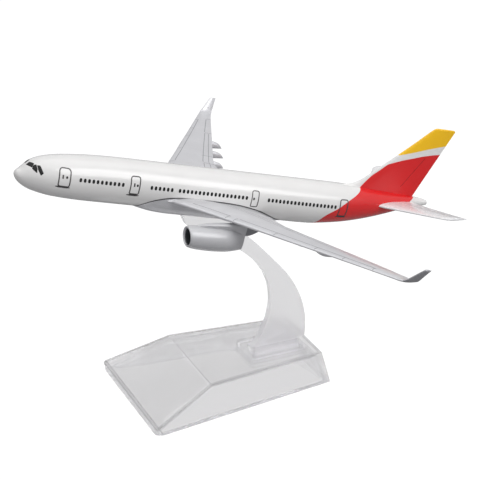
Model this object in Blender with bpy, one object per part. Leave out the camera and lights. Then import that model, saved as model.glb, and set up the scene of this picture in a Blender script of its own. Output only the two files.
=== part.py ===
"""Desk model of a twin-engined airliner, nose-up on a clear crescent arm and a clear wedge base.

Row frame: metres, +Z up, floor at z = 0. The nose points to -X, the port wing to -Y, and the
aircraft's plane of symmetry is y = 0. The origin is on the floor below the centre of the
model's bounding box, so the base sits a little ahead of it.

The aircraft is laid out in millimetres in its own frame: x aft from the nose, y to starboard,
z up from the fuselage axis. It is then pitched nose-up and lifted onto the stand.
"""
import math

import bmesh
import bpy
from mathutils import Matrix, Vector

for old in list(bpy.data.objects):
    bpy.data.objects.remove(old, do_unlink=True)

# ---------------------------------------------------------------- placement
MM = 0.001
PITCH = math.radians(16.1)   # nose-up attitude on the stand
NOSE_X = -70.7               # nose datum, ahead of the base centre
NOSE_Z = 93.55               # height of the fuselage axis at the nose datum
ORIGIN_X = 10.15             # centre of the bounding box, behind the base centre
GAP = 0.15                   # fitting gap between neighbouring castings

# ---------------------------------------------------------------- stand base
BASE_FRONT_X, BASE_REAR_X = -34.9, 34.9      # at the floor
BASE_TOP_FRONT_X, BASE_TOP_REAR_X = -11.8, 32.4
BASE_H, BASE_LIP = 11.35, 2.5
BASE_FRONT_W, BASE_REAR_W = 26.2, 16.8       # half widths at the floor
BASE_TOP_FRONT_W, BASE_TOP_REAR_W = 19.6, 14.7
BASE_CORNER_R, BASE_LIP_R = 2.6, 0.9          # corner radius at the floor and along the lip
BASE_WALL = 1.8
SLOT_X0, SLOT_X1, SLOT_HALF = 12.3, 29.7, 1.7
POD_X0, POD_HALF, POD_WALL, POD_DROP = 8.5, 7.3, 1.1, 3.2
SLOT_WALL, SLOT_WALL_Z = 1.2, 5.0

# ---------------------------------------------------------------- stand arm
ARM_T = 3.0
ARM_SEAT_Z = BASE_H + 0.1
TENON_X0, TENON_X1, TENON_Z = 12.5, 29.5, 5.6
ARM_AFT = [(32.0, 11.45), (32.3, 15.0), (32.1, 20.15), (30.9, 25.85), (28.6, 31.65),
           (25.1, 37.65), (20.4, 43.45), (15.4, 49.2), (9.8, 55.0), (5.3, 59.5)]
ARM_FORE = [(10.9, 11.45), (12.6, 12.3), (14.2, 13.9), (15.7, 16.9), (17.5, 20.8), (18.6, 25.5),
            (18.8, 29.0), (18.5, 32.4), (17.7, 36.0), (16.0, 40.0), (13.1, 44.3), (8.6, 49.0),
            (3.2, 53.4), (-2.8, 57.4), (-8.6, 60.7)]
SADDLE_X0, SADDLE_X1, SADDLE_Z = 61.9, 77.8, -9.05    # aircraft frame, along the belly
SADDLE_NOSE = (63.9, -12.6)
PEG_X0, PEG_X1, PEG_TOP = 65.0, 73.6, -4.7

# ---------------------------------------------------------------- fuselage
R = 7.62
# x, crown z, keel z, half width
FUSELAGE = [
    (0.05, -0.85, -1.35, 0.28), (0.30, -0.25, -2.05, 0.95), (0.80, 0.25, -2.80, 1.60),
    (1.50, 0.75, -3.55, 2.30), (2.60, 1.80, -4.35, 3.15), (4.10, 3.25, -5.15, 4.10),
    (5.40, 4.10, -5.65, 4.80), (6.90, 4.80, -6.05, 5.45), (9.00, 5.45, -6.50, 6.15),
    (11.8, 6.05, -6.95, 6.78), (14.8, 6.50, -7.22, 7.13), (18.5, 6.88, -7.44, 7.38),
    (23.0, 7.22, -7.58, 7.55), (28.0, 7.46, -R, 7.61), (34.0, 7.60, -R, R), (42.6, R, -R, R),
    (55.0, R, -R, R), (70.0, R, -R, R), (85.0, R, -R, R), (98.0, R, -R, R),
    (105.0, R, -R, R), (109.4, R, -7.48, 7.58), (113.0, R, -7.12, 7.46), (117.5, 7.60, -6.55, 7.24),
    (122.4, 7.50, -5.76, 6.86), (128.0, 7.32, -4.55, 6.20), (133.7, 7.06, -3.06, 5.32),
    (139.0, 6.76, -1.45, 4.36), (143.9, 6.42, 0.15, 3.42), (148.5, 6.05, 1.45, 2.58),
    (152.5, 5.66, 2.45, 1.86), (155.2, 5.28, 3.10, 1.28), (156.1, 5.05, 3.35, 1.00)]
WALL = 1.4
CAVITY_X0, CAVITY_X1 = 12.0, 126.0
SEG = 40

# seam between the white body and the wing casting, seen from the side: x, z
SEAM = [(42.4, -7.10), (43.1, -6.35), (43.9, -5.45), (45.4, -4.30), (47.1, -3.40), (49.0, -2.70), (51.3, -2.05), (54.5, -1.58),
        (58.5, -1.38), (63.0, -1.36), (68.2, -1.40), (74.2, -1.55), (80.4, -2.15), (87.0, -3.45),
        (91.0, -4.85), (94.0, -6.05), (96.4, -6.90), (97.3, -7.20)]
KEEL = [(42.4, 7.66), (48.0, 8.30), (53.0, 8.85), (60.0, 9.12), (85.0, 9.12), (92.0, 8.70), (97.3, 7.75)]
BELLY_FLAT = 8.95
POCKET = (52.0, 90.0, 4.2, -7.4)      # x0, x1, half width, floor z
SCREW_X = (57.0, 84.0)
SCREW_HEAD_R, SCREW_HEAD_H, SCREW_R, SCREW_LEN = 1.25, 0.75, 0.6, 6.0

# ---------------------------------------------------------------- wing, one side
# y, leading edge x, trailing edge x, leading edge z, trailing edge z, thickness
WING = [
    (4.6, 51.2, 86.3, -3.05, -4.25, 4.0), (7.7, 53.1, 86.0, -2.75, -3.65, 3.6),
    (12.0, 55.9, 85.7, -2.15, -2.75, 3.1), (18.0, 59.9, 85.2, -1.45, -1.60, 2.7),
    (24.0, 63.8, 84.7, -0.85, -0.65, 2.35), (29.0, 67.0, 84.3, -0.35, 0.10, 2.05),
    (37.0, 72.3, 87.4, 0.40, 0.85, 1.75), (46.0, 78.1, 91.0, 1.20, 1.70, 1.5),
    (56.0, 84.7, 95.0, 2.10, 2.62, 1.3), (66.0, 91.2, 99.0, 3.00, 3.50, 1.1),
    (74.0, 96.4, 102.3, 3.68, 4.05, 0.95), (77.4, 98.6, 103.9, 3.98, 4.32, 0.9)]
# winglet: y, z, leading edge x, trailing edge x, thickness, cant from the wing plane (degrees)
WINGLET = [(78.7, 4.30, 99.5, 104.6, 0.88, 22), (79.6, 5.05, 100.3, 105.0, 0.86, 46),
           (80.5, 6.70, 101.75, 105.5, 0.82, 62), (81.35, 8.30, 103.0, 106.0, 0.76, 64),
           (82.05, 9.60, 104.1, 106.45, 0.70, 64)]
# y, deepest point x and bottom z, tip x, tip z
FLAP_FAIRINGS = [(32.2, 82.8, -2.6, 90.2, -2.05), (41.4, 86.2, -1.7, 94.2, -1.2), (50.5, 89.6, -0.85, 97.4, -0.4)]

# ---------------------------------------------------------------- tail
FIN_LE = [(5.0, 119.6), (7.55, 119.6), (8.0, 122.4), (8.9, 125.0), (10.2, 127.1), (12.1, 129.4),
          (16.2, 134.0), (20.5, 138.9), (26.0, 144.9), (31.0, 150.2), (31.7, 151.2), (31.9, 151.9)]   # z, x
FIN_TE_X0, FIN_TE_Z0, FIN_TE_SLOPE = 149.95, 6.6, 0.390
FIN_T0, FIN_T1 = 1.9, 0.9
FIN_TENON = (129.5, 142.5, 0.5, 4.6)      # x0, x1, half thickness, bottom z
# stabiliser: y, leading edge x, trailing edge x, leading edge z, trailing edge z, thickness
STAB = [(1.0, 130.9, 147.2, 1.65, 4.2, 1.9), (3.0, 132.3, 147.9, 2.10, 4.5, 1.8),
        (9.0, 136.2, 150.0, 3.40, 5.4, 1.5), (16.0, 140.9, 152.5, 5.00, 6.5, 1.2),
        (22.0, 144.9, 154.6, 6.35, 7.5, 1.0), (24.6, 146.7, 155.6, 6.95, 7.95, 0.9),
        (25.6, 148.0, 156.0, 7.20, 8.1, 0.8), (26.1, 150.2, 156.3, 7.50, 8.2, 0.7)]
STAB_TAB = (138.0, 144.5, 2.0, 6.2, 0.45)  # x0, x1, y0, y1, half thickness

# ---------------------------------------------------------------- engines
ENG_Y, ENG_Z = 25.7, -7.6
# x, half height of the cowl; behind the middle its sides close in to a thin upright tail
COWL = [(52.00, 3.12), (52.10, 3.28), (52.45, 3.44), (53.4, 3.62), (55.5, 3.84), (58.5, 3.98),
        (62.0, 4.00), (65.0, 3.90), (67.6, 3.68), (69.8, 3.32), (71.4, 3.00), (72.4, 2.80)]
COWL_SIDE = [(62.0, 4.00), (65.0, 3.72), (67.6, 3.08), (69.8, 2.20), (71.4, 1.32), (72.4, 0.75)]
# the intake is a blind bore, from its floor out to the lip
INTAKE = [(57.6, 2.98), (55.0, 2.98), (53.4, 2.95), (52.5, 2.98), (52.12, 3.03)]
INTAKE_LEAN = 0.16           # top lip ahead of the bottom lip
FAN_X, FAN_R = 56.6, 2.86
# x, bottom, top, half width at the bottom, half width at the top
PYLON_FRONT = [(54.2, -4.3, -4.1, 0.15, 0.15), (55.9, -4.3, -3.25, 0.45, 0.60), (58.0, -4.3, -2.75, 0.50, 0.95),
               (60.1, -4.3, -2.40, 0.52, 1.20), (63.0, -4.3, -2.12, 0.55, 1.38), (66.0, -4.4, -1.90, 0.60, 1.38),
               (69.0, -5.2, -1.50, 0.70, 1.15), (71.0, -5.9, -0.90, 0.74, 0.95), (72.4, -6.4, -0.60, 0.75, 0.85)]
PYLON_REAR = [(72.0, -5.5, -0.2, 0.5, 0.5), (73.6, -5.45, -0.2, 0.5, 0.5), (75.4, -4.75, -0.2, 0.5, 0.5), (77.6, -3.35, -0.2, 0.48, 0.48),
              (80.2, -2.1, -0.2, 0.42, 0.42), (82.0, -1.5, -0.3, 0.3, 0.3)]


# ================================================================= helpers
def aircraft(p):
    """Aircraft frame in millimetres to row frame in metres."""
    x, y, z = p
    c, s = math.cos(PITCH), math.sin(PITCH)
    return ((x * c + z * s + NOSE_X - ORIGIN_X) * MM, y * MM, (-x * s + z * c + NOSE_Z) * MM)


def stand(p):
    """Stand frame, base-centred millimetres, to row frame in metres."""
    return ((p[0] - ORIGIN_X) * MM, p[1] * MM, p[2] * MM)


def lerp(table, x, col=1):
    """Linear interpolation in a table sorted by its first column."""
    if x <= table[0][0]:
        return table[0][col]
    for a, b in zip(table, table[1:]):
        if x <= b[0]:
            t = (x - a[0]) / (b[0] - a[0])
            return a[col] + (b[col] - a[col]) * t
    return table[-1][col]


def finish_mesh(bm, name):
    bmesh.ops.remove_doubles(bm, verts=bm.verts, dist=1e-7)
    bmesh.ops.recalc_face_normals(bm, faces=bm.faces)
    if bm.calc_volume(signed=True) < 0:
        bmesh.ops.reverse_faces(bm, faces=bm.faces)
    me = bpy.data.meshes.new(name)
    bm.to_mesh(me)
    bm.free()
    ob = bpy.data.objects.new(name, me)
    bpy.context.scene.collection.objects.link(ob)
    return ob


def loft(name, rings, frame):
    """Skin closed rings of equal length, with a fan at each end."""
    bm = bmesh.new()
    rows = [[bm.verts.new(frame(p)) for p in ring] for ring in rings]
    n = len(rings[0])
    for a, b in zip(rows, rows[1:]):
        for i in range(n):
            bm.faces.new((a[i], a[(i + 1) % n], b[(i + 1) % n], b[i]))
    for row in (rows[0], rows[-1]):
        mid = Vector((0, 0, 0))
        for v in row:
            mid += v.co
        c = bm.verts.new(mid / n)
        for i in range(n):
            bm.faces.new((row[i], row[(i + 1) % n], c))
    return finish_mesh(bm, name)


def prism(name, outline, y0, y1, frame):
    """Side outline (x, z) swept across from y0 to y1."""
    bm = bmesh.new()
    a = [bm.verts.new(frame((x, y0, z))) for x, z in outline]
    b = [bm.verts.new(frame((x, y1, z))) for x, z in outline]
    n = len(outline)
    for i in range(n):
        bm.faces.new((a[i], a[(i + 1) % n], b[(i + 1) % n], b[i]))
    caps = [bm.faces.new(row) for row in (a, b)]
    bm.normal_update()
    bmesh.ops.triangulate(bm, faces=caps)
    return finish_mesh(bm, name)


def box(name, x0, x1, y0, y1, z0, z1, frame):
    return prism(name, [(x0, z0), (x1, z0), (x1, z1), (x0, z1)], y0, y1, frame)


def cylinder_z(name, x, y, r, z0, z1, frame, seg=20):
    ring = [(x + r * math.cos(2 * math.pi * i / seg), y + r * math.sin(2 * math.pi * i / seg)) for i in range(seg)]
    return loft(name, [[(u, v, z) for u, v in ring] for z in (z0, z1)], frame)


def combine(target, tool, op):
    """Exact boolean; the tool object is used up."""
    mod = target.modifiers.new("cut", "BOOLEAN")
    mod.solver = "EXACT"
    mod.operation = op
    mod.object = tool
    bpy.context.view_layer.update()
    graph = bpy.context.evaluated_depsgraph_get()
    me = bpy.data.meshes.new_from_object(target.evaluated_get(graph))
    target.modifiers.clear()
    old = target.data
    target.data = me
    me.name = target.name
    bpy.data.meshes.remove(old)
    tool_mesh = tool.data
    bpy.data.objects.remove(tool, do_unlink=True)
    bpy.data.meshes.remove(tool_mesh)
    bm = bmesh.new()
    bm.from_mesh(me)
    bmesh.ops.dissolve_degenerate(bm, edges=bm.edges, dist=1e-7)
    bmesh.ops.remove_doubles(bm, verts=bm.verts, dist=1e-7)
    bm.to_mesh(me)
    bm.free()


def cut(target, tool):
    combine(target, tool, "DIFFERENCE")


def join(target, tool):
    combine(target, tool, "UNION")


def shade(ob, angle=35.0):
    """Smooth shading, with edges sharper than the angle kept crisp."""
    bm = bmesh.new()
    bm.from_mesh(ob.data)
    limit = math.radians(angle)
    for e in bm.edges:
        e.smooth = len(e.link_faces) == 2 and e.calc_face_angle(0.0) < limit
    for f in bm.faces:
        f.smooth = True
    bm.to_mesh(ob.data)
    bm.free()


def body_ring(x, top, bottom, half, inset=0.0, seg=SEG):
    zc, rz, ry = (top + bottom) / 2, (top - bottom) / 2 - inset, half - inset
    return [(x, ry * math.sin(2 * math.pi * i / seg), zc + rz * math.cos(2 * math.pi * i / seg)) for i in range(seg)]


def fuselage_solid(name, inset=0.0, x0=None, x1=None, seg=SEG):
    rings = []
    stations = FUSELAGE
    if x0 is not None:
        inner = [s for s in FUSELAGE if x0 < s[0] < x1]
        ends = [tuple([x] + [lerp(FUSELAGE, x, c) for c in (1, 2, 3)]) for x in (x0, x1)]
        stations = [ends[0]] + inner + [ends[1]]
    for x, t, b, w in stations:
        rings.append(body_ring(x, t, b, w, inset, seg))
    return loft(name, rings, aircraft)


def section(le, te, thickness, n=9, te_t=0.3):
    """Closed symmetric aerofoil section. Returns (fraction along chord, offset) pairs."""
    pts = []
    for i in range(n + 1):
        u = 0.5 * (1 - math.cos(math.pi * i / n))
        h = 5 * (0.2969 * math.sqrt(u) - 0.1260 * u - 0.3516 * u * u + 0.2843 * u ** 3 - 0.1036 * u ** 4)
        h = h * thickness + 0.5 * te_t * u
        pts.append((u, h))
    upper = pts[:]
    lower = [(u, -h) for u, h in reversed(pts[1:])]
    return upper + lower


def wing_rings(side, grow=0.0):
    rings = []
    for y, xl, xt, zl, zt, t in WING:
        ring = []
        for u, h in section(xl, xt, t):
            k = (abs(h) + grow) * (1 if h >= 0 else -1)
            if u == 0:
                k = 0
            camber = 0.06 * t * math.sin(math.pi * u)
            ring.append((xl - grow + (xt - xl + 2 * grow) * u, side * y, zl + (zt - zl) * u + camber + k))
        rings.append(ring)
    return rings


def winglet_rings(side):
    rings = []
    for y, z, xl, xt, t, cant in WINGLET:
        a = math.radians(cant)
        ring = []
        for u, h in section(xl, xt, t, te_t=0.25):
            ring.append((xl + (xt - xl) * u, side * (y - h * math.sin(a)), z + h * math.cos(a)))
        rings.append(ring)
    return rings


# ================================================================= stand
def base_width(x, table_front, table_rear, x0, x1):
    return table_front + (table_rear - table_front) * (x - x0) / (x1 - x0)


def base_rings(inset, floor):
    """Sections across the base from front to rear, moved in by the wall thickness."""
    front, rear_top, rear_floor = BASE_FRONT_X + inset, BASE_TOP_REAR_X - inset, BASE_REAR_X - inset
    slope = (BASE_H - BASE_LIP) / (BASE_TOP_FRONT_X - BASE_FRONT_X)
    drop = inset * math.sqrt(1 + slope * slope) if inset else 0.0
    top = BASE_H - inset
    knee = BASE_TOP_FRONT_X + (drop - inset) / slope if inset else BASE_TOP_FRONT_X
    r = max(BASE_CORNER_R - inset, 0.5)
    xs = [front + r * (1 - math.cos(math.radians(a))) for a in (0, 22.5, 45, 67.5, 90)]
    xs += [front + r + (knee - front - r) * t for t in (0.34, 0.67, 1.0)]
    xs += [knee + (rear_top - knee) * t for t in (0.25, 0.5, 0.75, 1.0)]
    rings = []
    for i, x in enumerate(xs):
        last = i == len(xs) - 1
        z = min(top, BASE_LIP - drop + slope * (x - BASE_FRONT_X))
        round_in = round_top = 0.0
        if x < front + r:
            round_in = r - math.sqrt(max(r * r - (front + r - x) ** 2, 0.0))
            round_top = round_in * min(BASE_LIP_R / r, 1.0)
        wf = base_width(x, BASE_FRONT_W, BASE_REAR_W, BASE_FRONT_X, BASE_REAR_X) - inset - round_in
        if x <= knee:
            wt = BASE_FRONT_W + (BASE_TOP_FRONT_W - BASE_FRONT_W) * (x - BASE_FRONT_X) / (BASE_TOP_FRONT_X - BASE_FRONT_X)
        else:
            wt = BASE_TOP_FRONT_W + (BASE_TOP_REAR_W - BASE_TOP_FRONT_W) * (x - BASE_TOP_FRONT_X) / (BASE_TOP_REAR_X - BASE_TOP_FRONT_X)
        wt -= inset * 1.02 + round_top
        # the front lip stands upright; behind it the sides lean in
        xf = x
        if last:
            xf = rear_floor - floor * (rear_floor - rear_top) / BASE_H
            wf = base_width(xf, BASE_FRONT_W, BASE_REAR_W, BASE_FRONT_X, BASE_REAR_X) - inset
        n = 4
        side = [(xf + (x - xf) * t / n, wf + (wt - wf) * t / n, floor + (z - floor) * t / n) for t in range(n + 1)]
        roof = [(x, wt * (1 - 2 * t / 8), z) for t in range(1, 8)]
        other = [(u, -v, w) for u, v, w in reversed(side)]
        keel = [(xf, -wf * (1 - 2 * t / 8), floor) for t in range(1, 8)]
        rings.append(side + roof + other + keel)
    return rings


base = loft("base_shell", base_rings(0.0, 0.0), stand)
cut(base, loft("cavity", base_rings(BASE_WALL, -1.0), stand))
roof_z = BASE_H - BASE_WALL + 0.3
rear_in = BASE_TOP_REAR_X - 1.0
rim = box("rim", POD_X0, rear_in, -POD_HALF, POD_HALF, roof_z - 0.3 - POD_DROP, roof_z, stand)
cut(rim, box("rim_in", POD_X0 + POD_WALL, rear_in + 2, -POD_HALF + POD_WALL, POD_HALF - POD_WALL,
             0.0, roof_z - 0.3, stand))
join(base, rim)
join(base, box("slot_box", SLOT_X0 - SLOT_WALL, rear_in, -SLOT_HALF - SLOT_WALL, SLOT_HALF + SLOT_WALL,
               SLOT_WALL_Z, roof_z, stand))
cut(base, box("slot", SLOT_X0, SLOT_X1, -SLOT_HALF, SLOT_HALF, 2.0, BASE_H + 2, stand))
shade(base, 20)

fore_low = [(x, z) for x, z in ARM_FORE]
aft = [(x, z) for x, z in ARM_AFT]


def side_of(p):
    """Aircraft side view point to the stand's side view, in millimetres."""
    q = aircraft((p[0], 0.0, p[1]))
    return q[0] / MM + ORIGIN_X, q[2] / MM


arm_outline = ([(TENON_X0, TENON_Z), (TENON_X1, TENON_Z), (TENON_X1, ARM_SEAT_Z)] + aft
               + [side_of((SADDLE_X1, SADDLE_Z)), side_of((PEG_X1, SADDLE_Z)), side_of((PEG_X1, PEG_TOP)),
                  side_of((PEG_X0, PEG_TOP)), side_of((PEG_X0, SADDLE_Z)), side_of((SADDLE_X0, SADDLE_Z)),
                  side_of((62.2, -10.6)), side_of(SADDLE_NOSE)]
               + list(reversed(fore_low)) + [(TENON_X0, ARM_SEAT_Z)])
arm = prism("stand_arm", arm_outline, -ARM_T / 2, ARM_T / 2, stand)
shade(arm, 25)

# ================================================================= fuselage
body = fuselage_solid("fuselage_shell")
cut(body, fuselage_solid("cavity", WALL, CAVITY_X0, CAVITY_X1, 28))
for x in SCREW_X:
    join(body, cylinder_z("post", x, 0.0, 2.0, POCKET[3] + 0.2, 6.9, aircraft))
belly = [(x, z + GAP) for x, z in SEAM]
belly = [(SEAM[0][0] - GAP, -12.0), (SEAM[0][0] - GAP, SEAM[0][1] + GAP)] + belly[1:-1] \
    + [(SEAM[-1][0] + GAP, SEAM[-1][1] + GAP), (SEAM[-1][0] + GAP, -12.0)]
# the notch leaves the two screw posts standing
notch = prism("notch", belly, -12.0, 12.0, aircraft)
for x in SCREW_X:
    cut(notch, cylinder_z("post_keep", x, 0.0, 2.0, POCKET[3] + 0.2, 6.9, aircraft))
cut(body, notch)
for x in SCREW_X:
    cut(body, cylinder_z("pilot", x, 0.0, SCREW_R + 0.06, -9.0, -1.6, aircraft, 16))

# ================================================================= fin
def fin_le(z):
    return lerp(FIN_LE, z)


fin_rings = []
for z in (5.0, 7.55, 8.0, 8.9, 10.2, 12.1, 16.2, 20.5, 26.0, 31.0, 31.7, 31.9):
    xl = fin_le(z)
    xt = FIN_TE_X0 + (z - FIN_TE_Z0) * FIN_TE_SLOPE
    if z > 31.5:
        xt -= 0.25 if z < 31.8 else 0.9
    t = FIN_T0 + (FIN_T1 - FIN_T0) * (z - 5.0) / 27.0
    fin_rings.append([(xl + (xt - xl) * u, h * (0.6 if z > 31.8 else 1.0), z) for u, h in section(xl, xt, t, 10)])
fin = loft("vertical_fin", fin_rings, aircraft)
cut(fin, fuselage_solid("crown", -0.07, 100.0, 156.0))
fx0, fx1, fh, fz = FIN_TENON
join(fin, box("tenon", fx0, fx1, -fh, fh, fz, 8.6, aircraft))
cut(body, box("fin_slot", fx0 - 0.15, fx1 + 0.15, -fh - 0.12, fh + 0.12, fz - 0.2, 9.5, aircraft))
shade(fin, 40)

# ================================================================= tailplane
for side, name in ((-1, "left_stabiliser"), (1, "right_stabiliser")):
    rings = []
    for y, xl, xt, zl, zt, t in STAB:
        rings.append([(xl + (xt - xl) * u, side * y, zl + (zt - zl) * u + h) for u, h in section(xl, xt, t, 8)])
    stab = loft(name, rings, aircraft)
    cut(stab, fuselage_solid("tail", -0.07, 110.0, 156.4))
    tx0, tx1, ty0, ty1, th = STAB_TAB
    z_mid = 3.95
    join(stab, box("tab", tx0, tx1, side * ty0, side * ty1, z_mid - th, z_mid + th, aircraft))
    cut(body, box("tab_slot", tx0 - 0.15, tx1 + 0.15, side * (ty0 - 0.2), side * (ty1 + 2.0),
                  z_mid - th - 0.12, z_mid + th + 0.12, aircraft))
    shade(stab, 40)
shade(body, 35)

# ================================================================= wing casting
tub_x = sorted(set([s[0] for s in SEAM] + [60.5, 65.5, 71.0, 77.0, 83.5]))
tub_rings = []
for x in tub_x:
    zs, keel = lerp(SEAM, x), lerp(KEEL, x)
    start = math.asin(max(-0.999, zs / R))
    sweep = math.pi + 2 * start
    ring = []
    n = 22
    for i in range(n + 1):
        a = start - sweep * i / n
        edge = min(i, n - i) / n
        s = min(edge / 0.3, 1.0)
        s = s * s * (3 - 2 * s)
        rad = R + (keel - R) * s
        z = rad * math.sin(a)
        ring.append((x, rad * math.cos(a), max(z, -BELLY_FLAT) if keel > BELLY_FLAT else z))
    ring += [(x, ring[-1][1] * (1 - 2 * t / 6), zs) for t in range(1, 6)]
    tub_rings.append(ring)
wing = loft("wing_casting", tub_rings, aircraft)
for side in (-1, 1):
    join(wing, loft("panel", wing_rings(side) + winglet_rings(side), aircraft))
    for y, low_x, low_z, tip_x, tip_z in FLAP_FAIRINGS:
        xl, xt = lerp(WING, y, 1), lerp(WING, y, 2)
        zl, zt = lerp(WING, y, 3), lerp(WING, y, 4)
        rings = []
        # station between the buried front end and the tip, half width, top below the chord, bottom
        for x, w, top, bottom in ((low_x - 5.4, 0.30, 0.1, 0.25), (low_x - 4.2, 0.66, 0.1, 0.62), (low_x - 2.2, 0.92, 0.1, 0.93),
                                  (low_x, 1.0, 0.1, 1.0), (low_x + 2.4, 1.0, 0.1, 0.97), (xt + 0.3, 0.92, 0.2, None),
                                  ((xt + tip_x) / 2 + 0.3, 0.66, None, None), (tip_x - 0.6, 0.28, None, None),
                                  (tip_x, 0.10, None, None)):
            chord_z = zl + (zt - zl) * (x - xl) / (xt - xl)
            if bottom is not None:
                hi = chord_z - top
                lo = chord_z - (chord_z - low_z) * bottom
            else:
                t = max(0.0, (x - xt) / (tip_x - xt))
                hi = zt - 0.12 + (tip_z + 0.14 - zt + 0.12) * t ** 1.5
                lo = low_z + 0.1 + (tip_z - 0.06 - low_z - 0.1) * t
            rings.append([(x, side * y + w * math.cos(2 * math.pi * i / 12),
                           (hi + lo) / 2 + (hi - lo) / 2 * math.sin(2 * math.pi * i / 12)) for i in range(12)])
        join(wing, loft("fairing", rings, aircraft))
# the panels stay clear of the body above the seam
above = fuselage_solid("above_seam", -0.12, 30.0, 112.0)
under = [(SEAM[0][0] - 0.04, -14.0)] + [(x, z + 0.04) for x, z in SEAM] + [(SEAM[-1][0] + 0.04, -14.0)]
cut(above, prism("under_seam", under, -14.0, 14.0, aircraft))
cut(wing, above)
cut(wing, box("pocket", POCKET[0], POCKET[1], -POCKET[2], POCKET[2], POCKET[3], 4.0, aircraft))
join(wing, box("collar", PEG_X0 - 1.4, PEG_X1 + 1.4, -2.9, 2.9, POCKET[3] - 0.3, -4.5, aircraft))
cut(wing, box("peg_slot", PEG_X0 - 0.2, PEG_X1 + 0.2, -ARM_T / 2 - 0.2, ARM_T / 2 + 0.2, -12.0, -3.0, aircraft))
for x in SCREW_X:
    cut(wing, cylinder_z("screw_hole", x, 0.0, SCREW_R + 0.25, -12.0, -5.0, aircraft, 16))
    cut(wing, cylinder_z("counterbore", x, 0.0, SCREW_HEAD_R + 0.2, -12.0, -8.1, aircraft, 20))
shade(wing, 38)

for x, name in zip(SCREW_X, ("belly_screw_front", "belly_screw_rear")):
    head_z = -8.1 - 0.05
    screw = cylinder_z(name, x, 0.0, SCREW_HEAD_R, head_z - SCREW_HEAD_H, head_z, aircraft, 24)
    join(screw, cylinder_z("shank", x, 0.0, SCREW_R, head_z - 0.2, head_z + SCREW_LEN, aircraft, 16))
    for a, b in ((0.85, 0.17), (0.17, 0.85)):
        cut(screw, box("recess", x - a, x + a, -b, b, head_z - SCREW_HEAD_H - 1, head_z - SCREW_HEAD_H + 0.4, aircraft))
    shade(screw, 35)

# ================================================================= engines
def cowl_ring(x, r, side, seg, grow=0.0, bore=False):
    """Section across an engine. Ahead of x = 56 it leans, top forward."""
    half = r if bore or x <= COWL_SIDE[0][0] else lerp(COWL_SIDE, x)
    ring = []
    for i in range(seg):
        a = 2 * math.pi * i / seg
        z = (r + grow) * math.cos(a)
        lean = -INTAKE_LEAN * z * max(0.0, min(1.0, (56.0 - x) / 4.0))
        ring.append((x + lean, side * ENG_Y + (half + grow) * math.sin(a), ENG_Z + z))
    return ring


def pylon_rings(table, side):
    rings = []
    for x, low, top, wl, wt in table:
        shoulder = top - min(0.8, 0.45 * (top - low))
        ring = [(-wl, low), (wl, low), (wt, shoulder), (0.72 * wt, top - 0.1), (0.0, top), (-0.72 * wt, top - 0.1), (-wt, shoulder)]
        rings.append([(x, side * ENG_Y + y, z) for y, z in ring])
    return rings


for side, tag in ((-1, "left"), (1, "right")):
    seg = 36
    rings = [cowl_ring(x, r, side, seg, bore=True) for x, r in INTAKE] + [cowl_ring(x, r, side, seg) for x, r in COWL]
    cowl = loft(tag + "_nacelle", rings, aircraft)
    shade(cowl, 50)

    fan_profile = [(54.3, 0.06), (54.6, 0.38), (55.2, 0.72), (55.9, 0.95), (56.0, FAN_R - 0.1), (FAN_X, FAN_R), (57.4, FAN_R)]
    fan = loft(tag + "_fan", [[(x, side * ENG_Y + r * math.sin(2 * math.pi * i / 28), ENG_Z + r * math.cos(2 * math.pi * i / 28))
                               for i in range(28)] for x, r in fan_profile], aircraft)
    shade(fan, 35)

    pylon = loft(tag + "_pylon", pylon_rings(PYLON_FRONT, side), aircraft)
    join(pylon, loft("rear", pylon_rings(PYLON_REAR, side), aircraft))
    cut(pylon, loft("cowl_space", [cowl_ring(x, r, side, 36, 0.06) for x, r in COWL]
                    + [cowl_ring(COWL[-1][0] + 0.06, COWL[-1][1], side, 36, 0.03)], aircraft))
    cut(pylon, loft("wing_space", wing_rings(side, 0.07), aircraft))
    shade(pylon, 35)

# ================================================================= materials and placement
def frame_at(p, pitched):
    """A frame at a stand point, or a pitched one at an aircraft point; both in millimetres."""
    if pitched:
        return Matrix.Translation(aircraft(p)) @ Matrix.Rotation(PITCH, 4, "Y")
    return Matrix.Translation(stand(p))


def empty(name, world, parent=None):
    e = bpy.data.objects.new(name, None)
    e.empty_display_size = 0.01
    bpy.context.scene.collection.objects.link(e)
    if parent:
        e.parent = parent[0]
        e.matrix_basis = parent[1].inverted() @ world
    else:
        e.matrix_basis = world
    return e, world


def settle(name, parent, world, colour, roughness, metallic, transmission=0.0):
    """Give a piece its own origin under its parent, and its own material."""
    ob = bpy.data.objects[name]
    ob.data.transform(world.inverted())
    ob.parent = parent[0]
    ob.matrix_basis = parent[1].inverted() @ world
    mat = bpy.data.materials.new(name + "_finish")
    mat.use_nodes = True
    bsdf = mat.node_tree.nodes["Principled BSDF"]
    bsdf.inputs["Base Color"].default_value = (*colour, 1.0)
    bsdf.inputs["Roughness"].default_value = roughness
    bsdf.inputs["Metallic"].default_value = metallic
    bsdf.inputs["Transmission Weight"].default_value = transmission
    ob.data.materials.clear()
    ob.data.materials.append(mat)


CLEAR, WHITE, RED = (0.93, 0.94, 0.95), (0.87, 0.87, 0.88), (0.55, 0.012, 0.014)
SILVER, PALE, DARK_GREY, BLACK, STEEL = (0.62, 0.62, 0.64), (0.68, 0.69, 0.71), (0.27, 0.27, 0.28), (0.05, 0.05, 0.055), (0.45, 0.45, 0.46)

# the arm lifts out along the tenon, the aircraft along the peg: both empties sit on those axes
base_frame = empty("base_frame", frame_at((0, 0, 0), False))
arm_frame = empty("arm_frame", frame_at(((TENON_X0 + TENON_X1) / 2, 0, BASE_H), False), base_frame)
air_frame = empty("aircraft_frame", frame_at(((PEG_X0 + PEG_X1) / 2, 0, SADDLE_Z), True), arm_frame)

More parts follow.
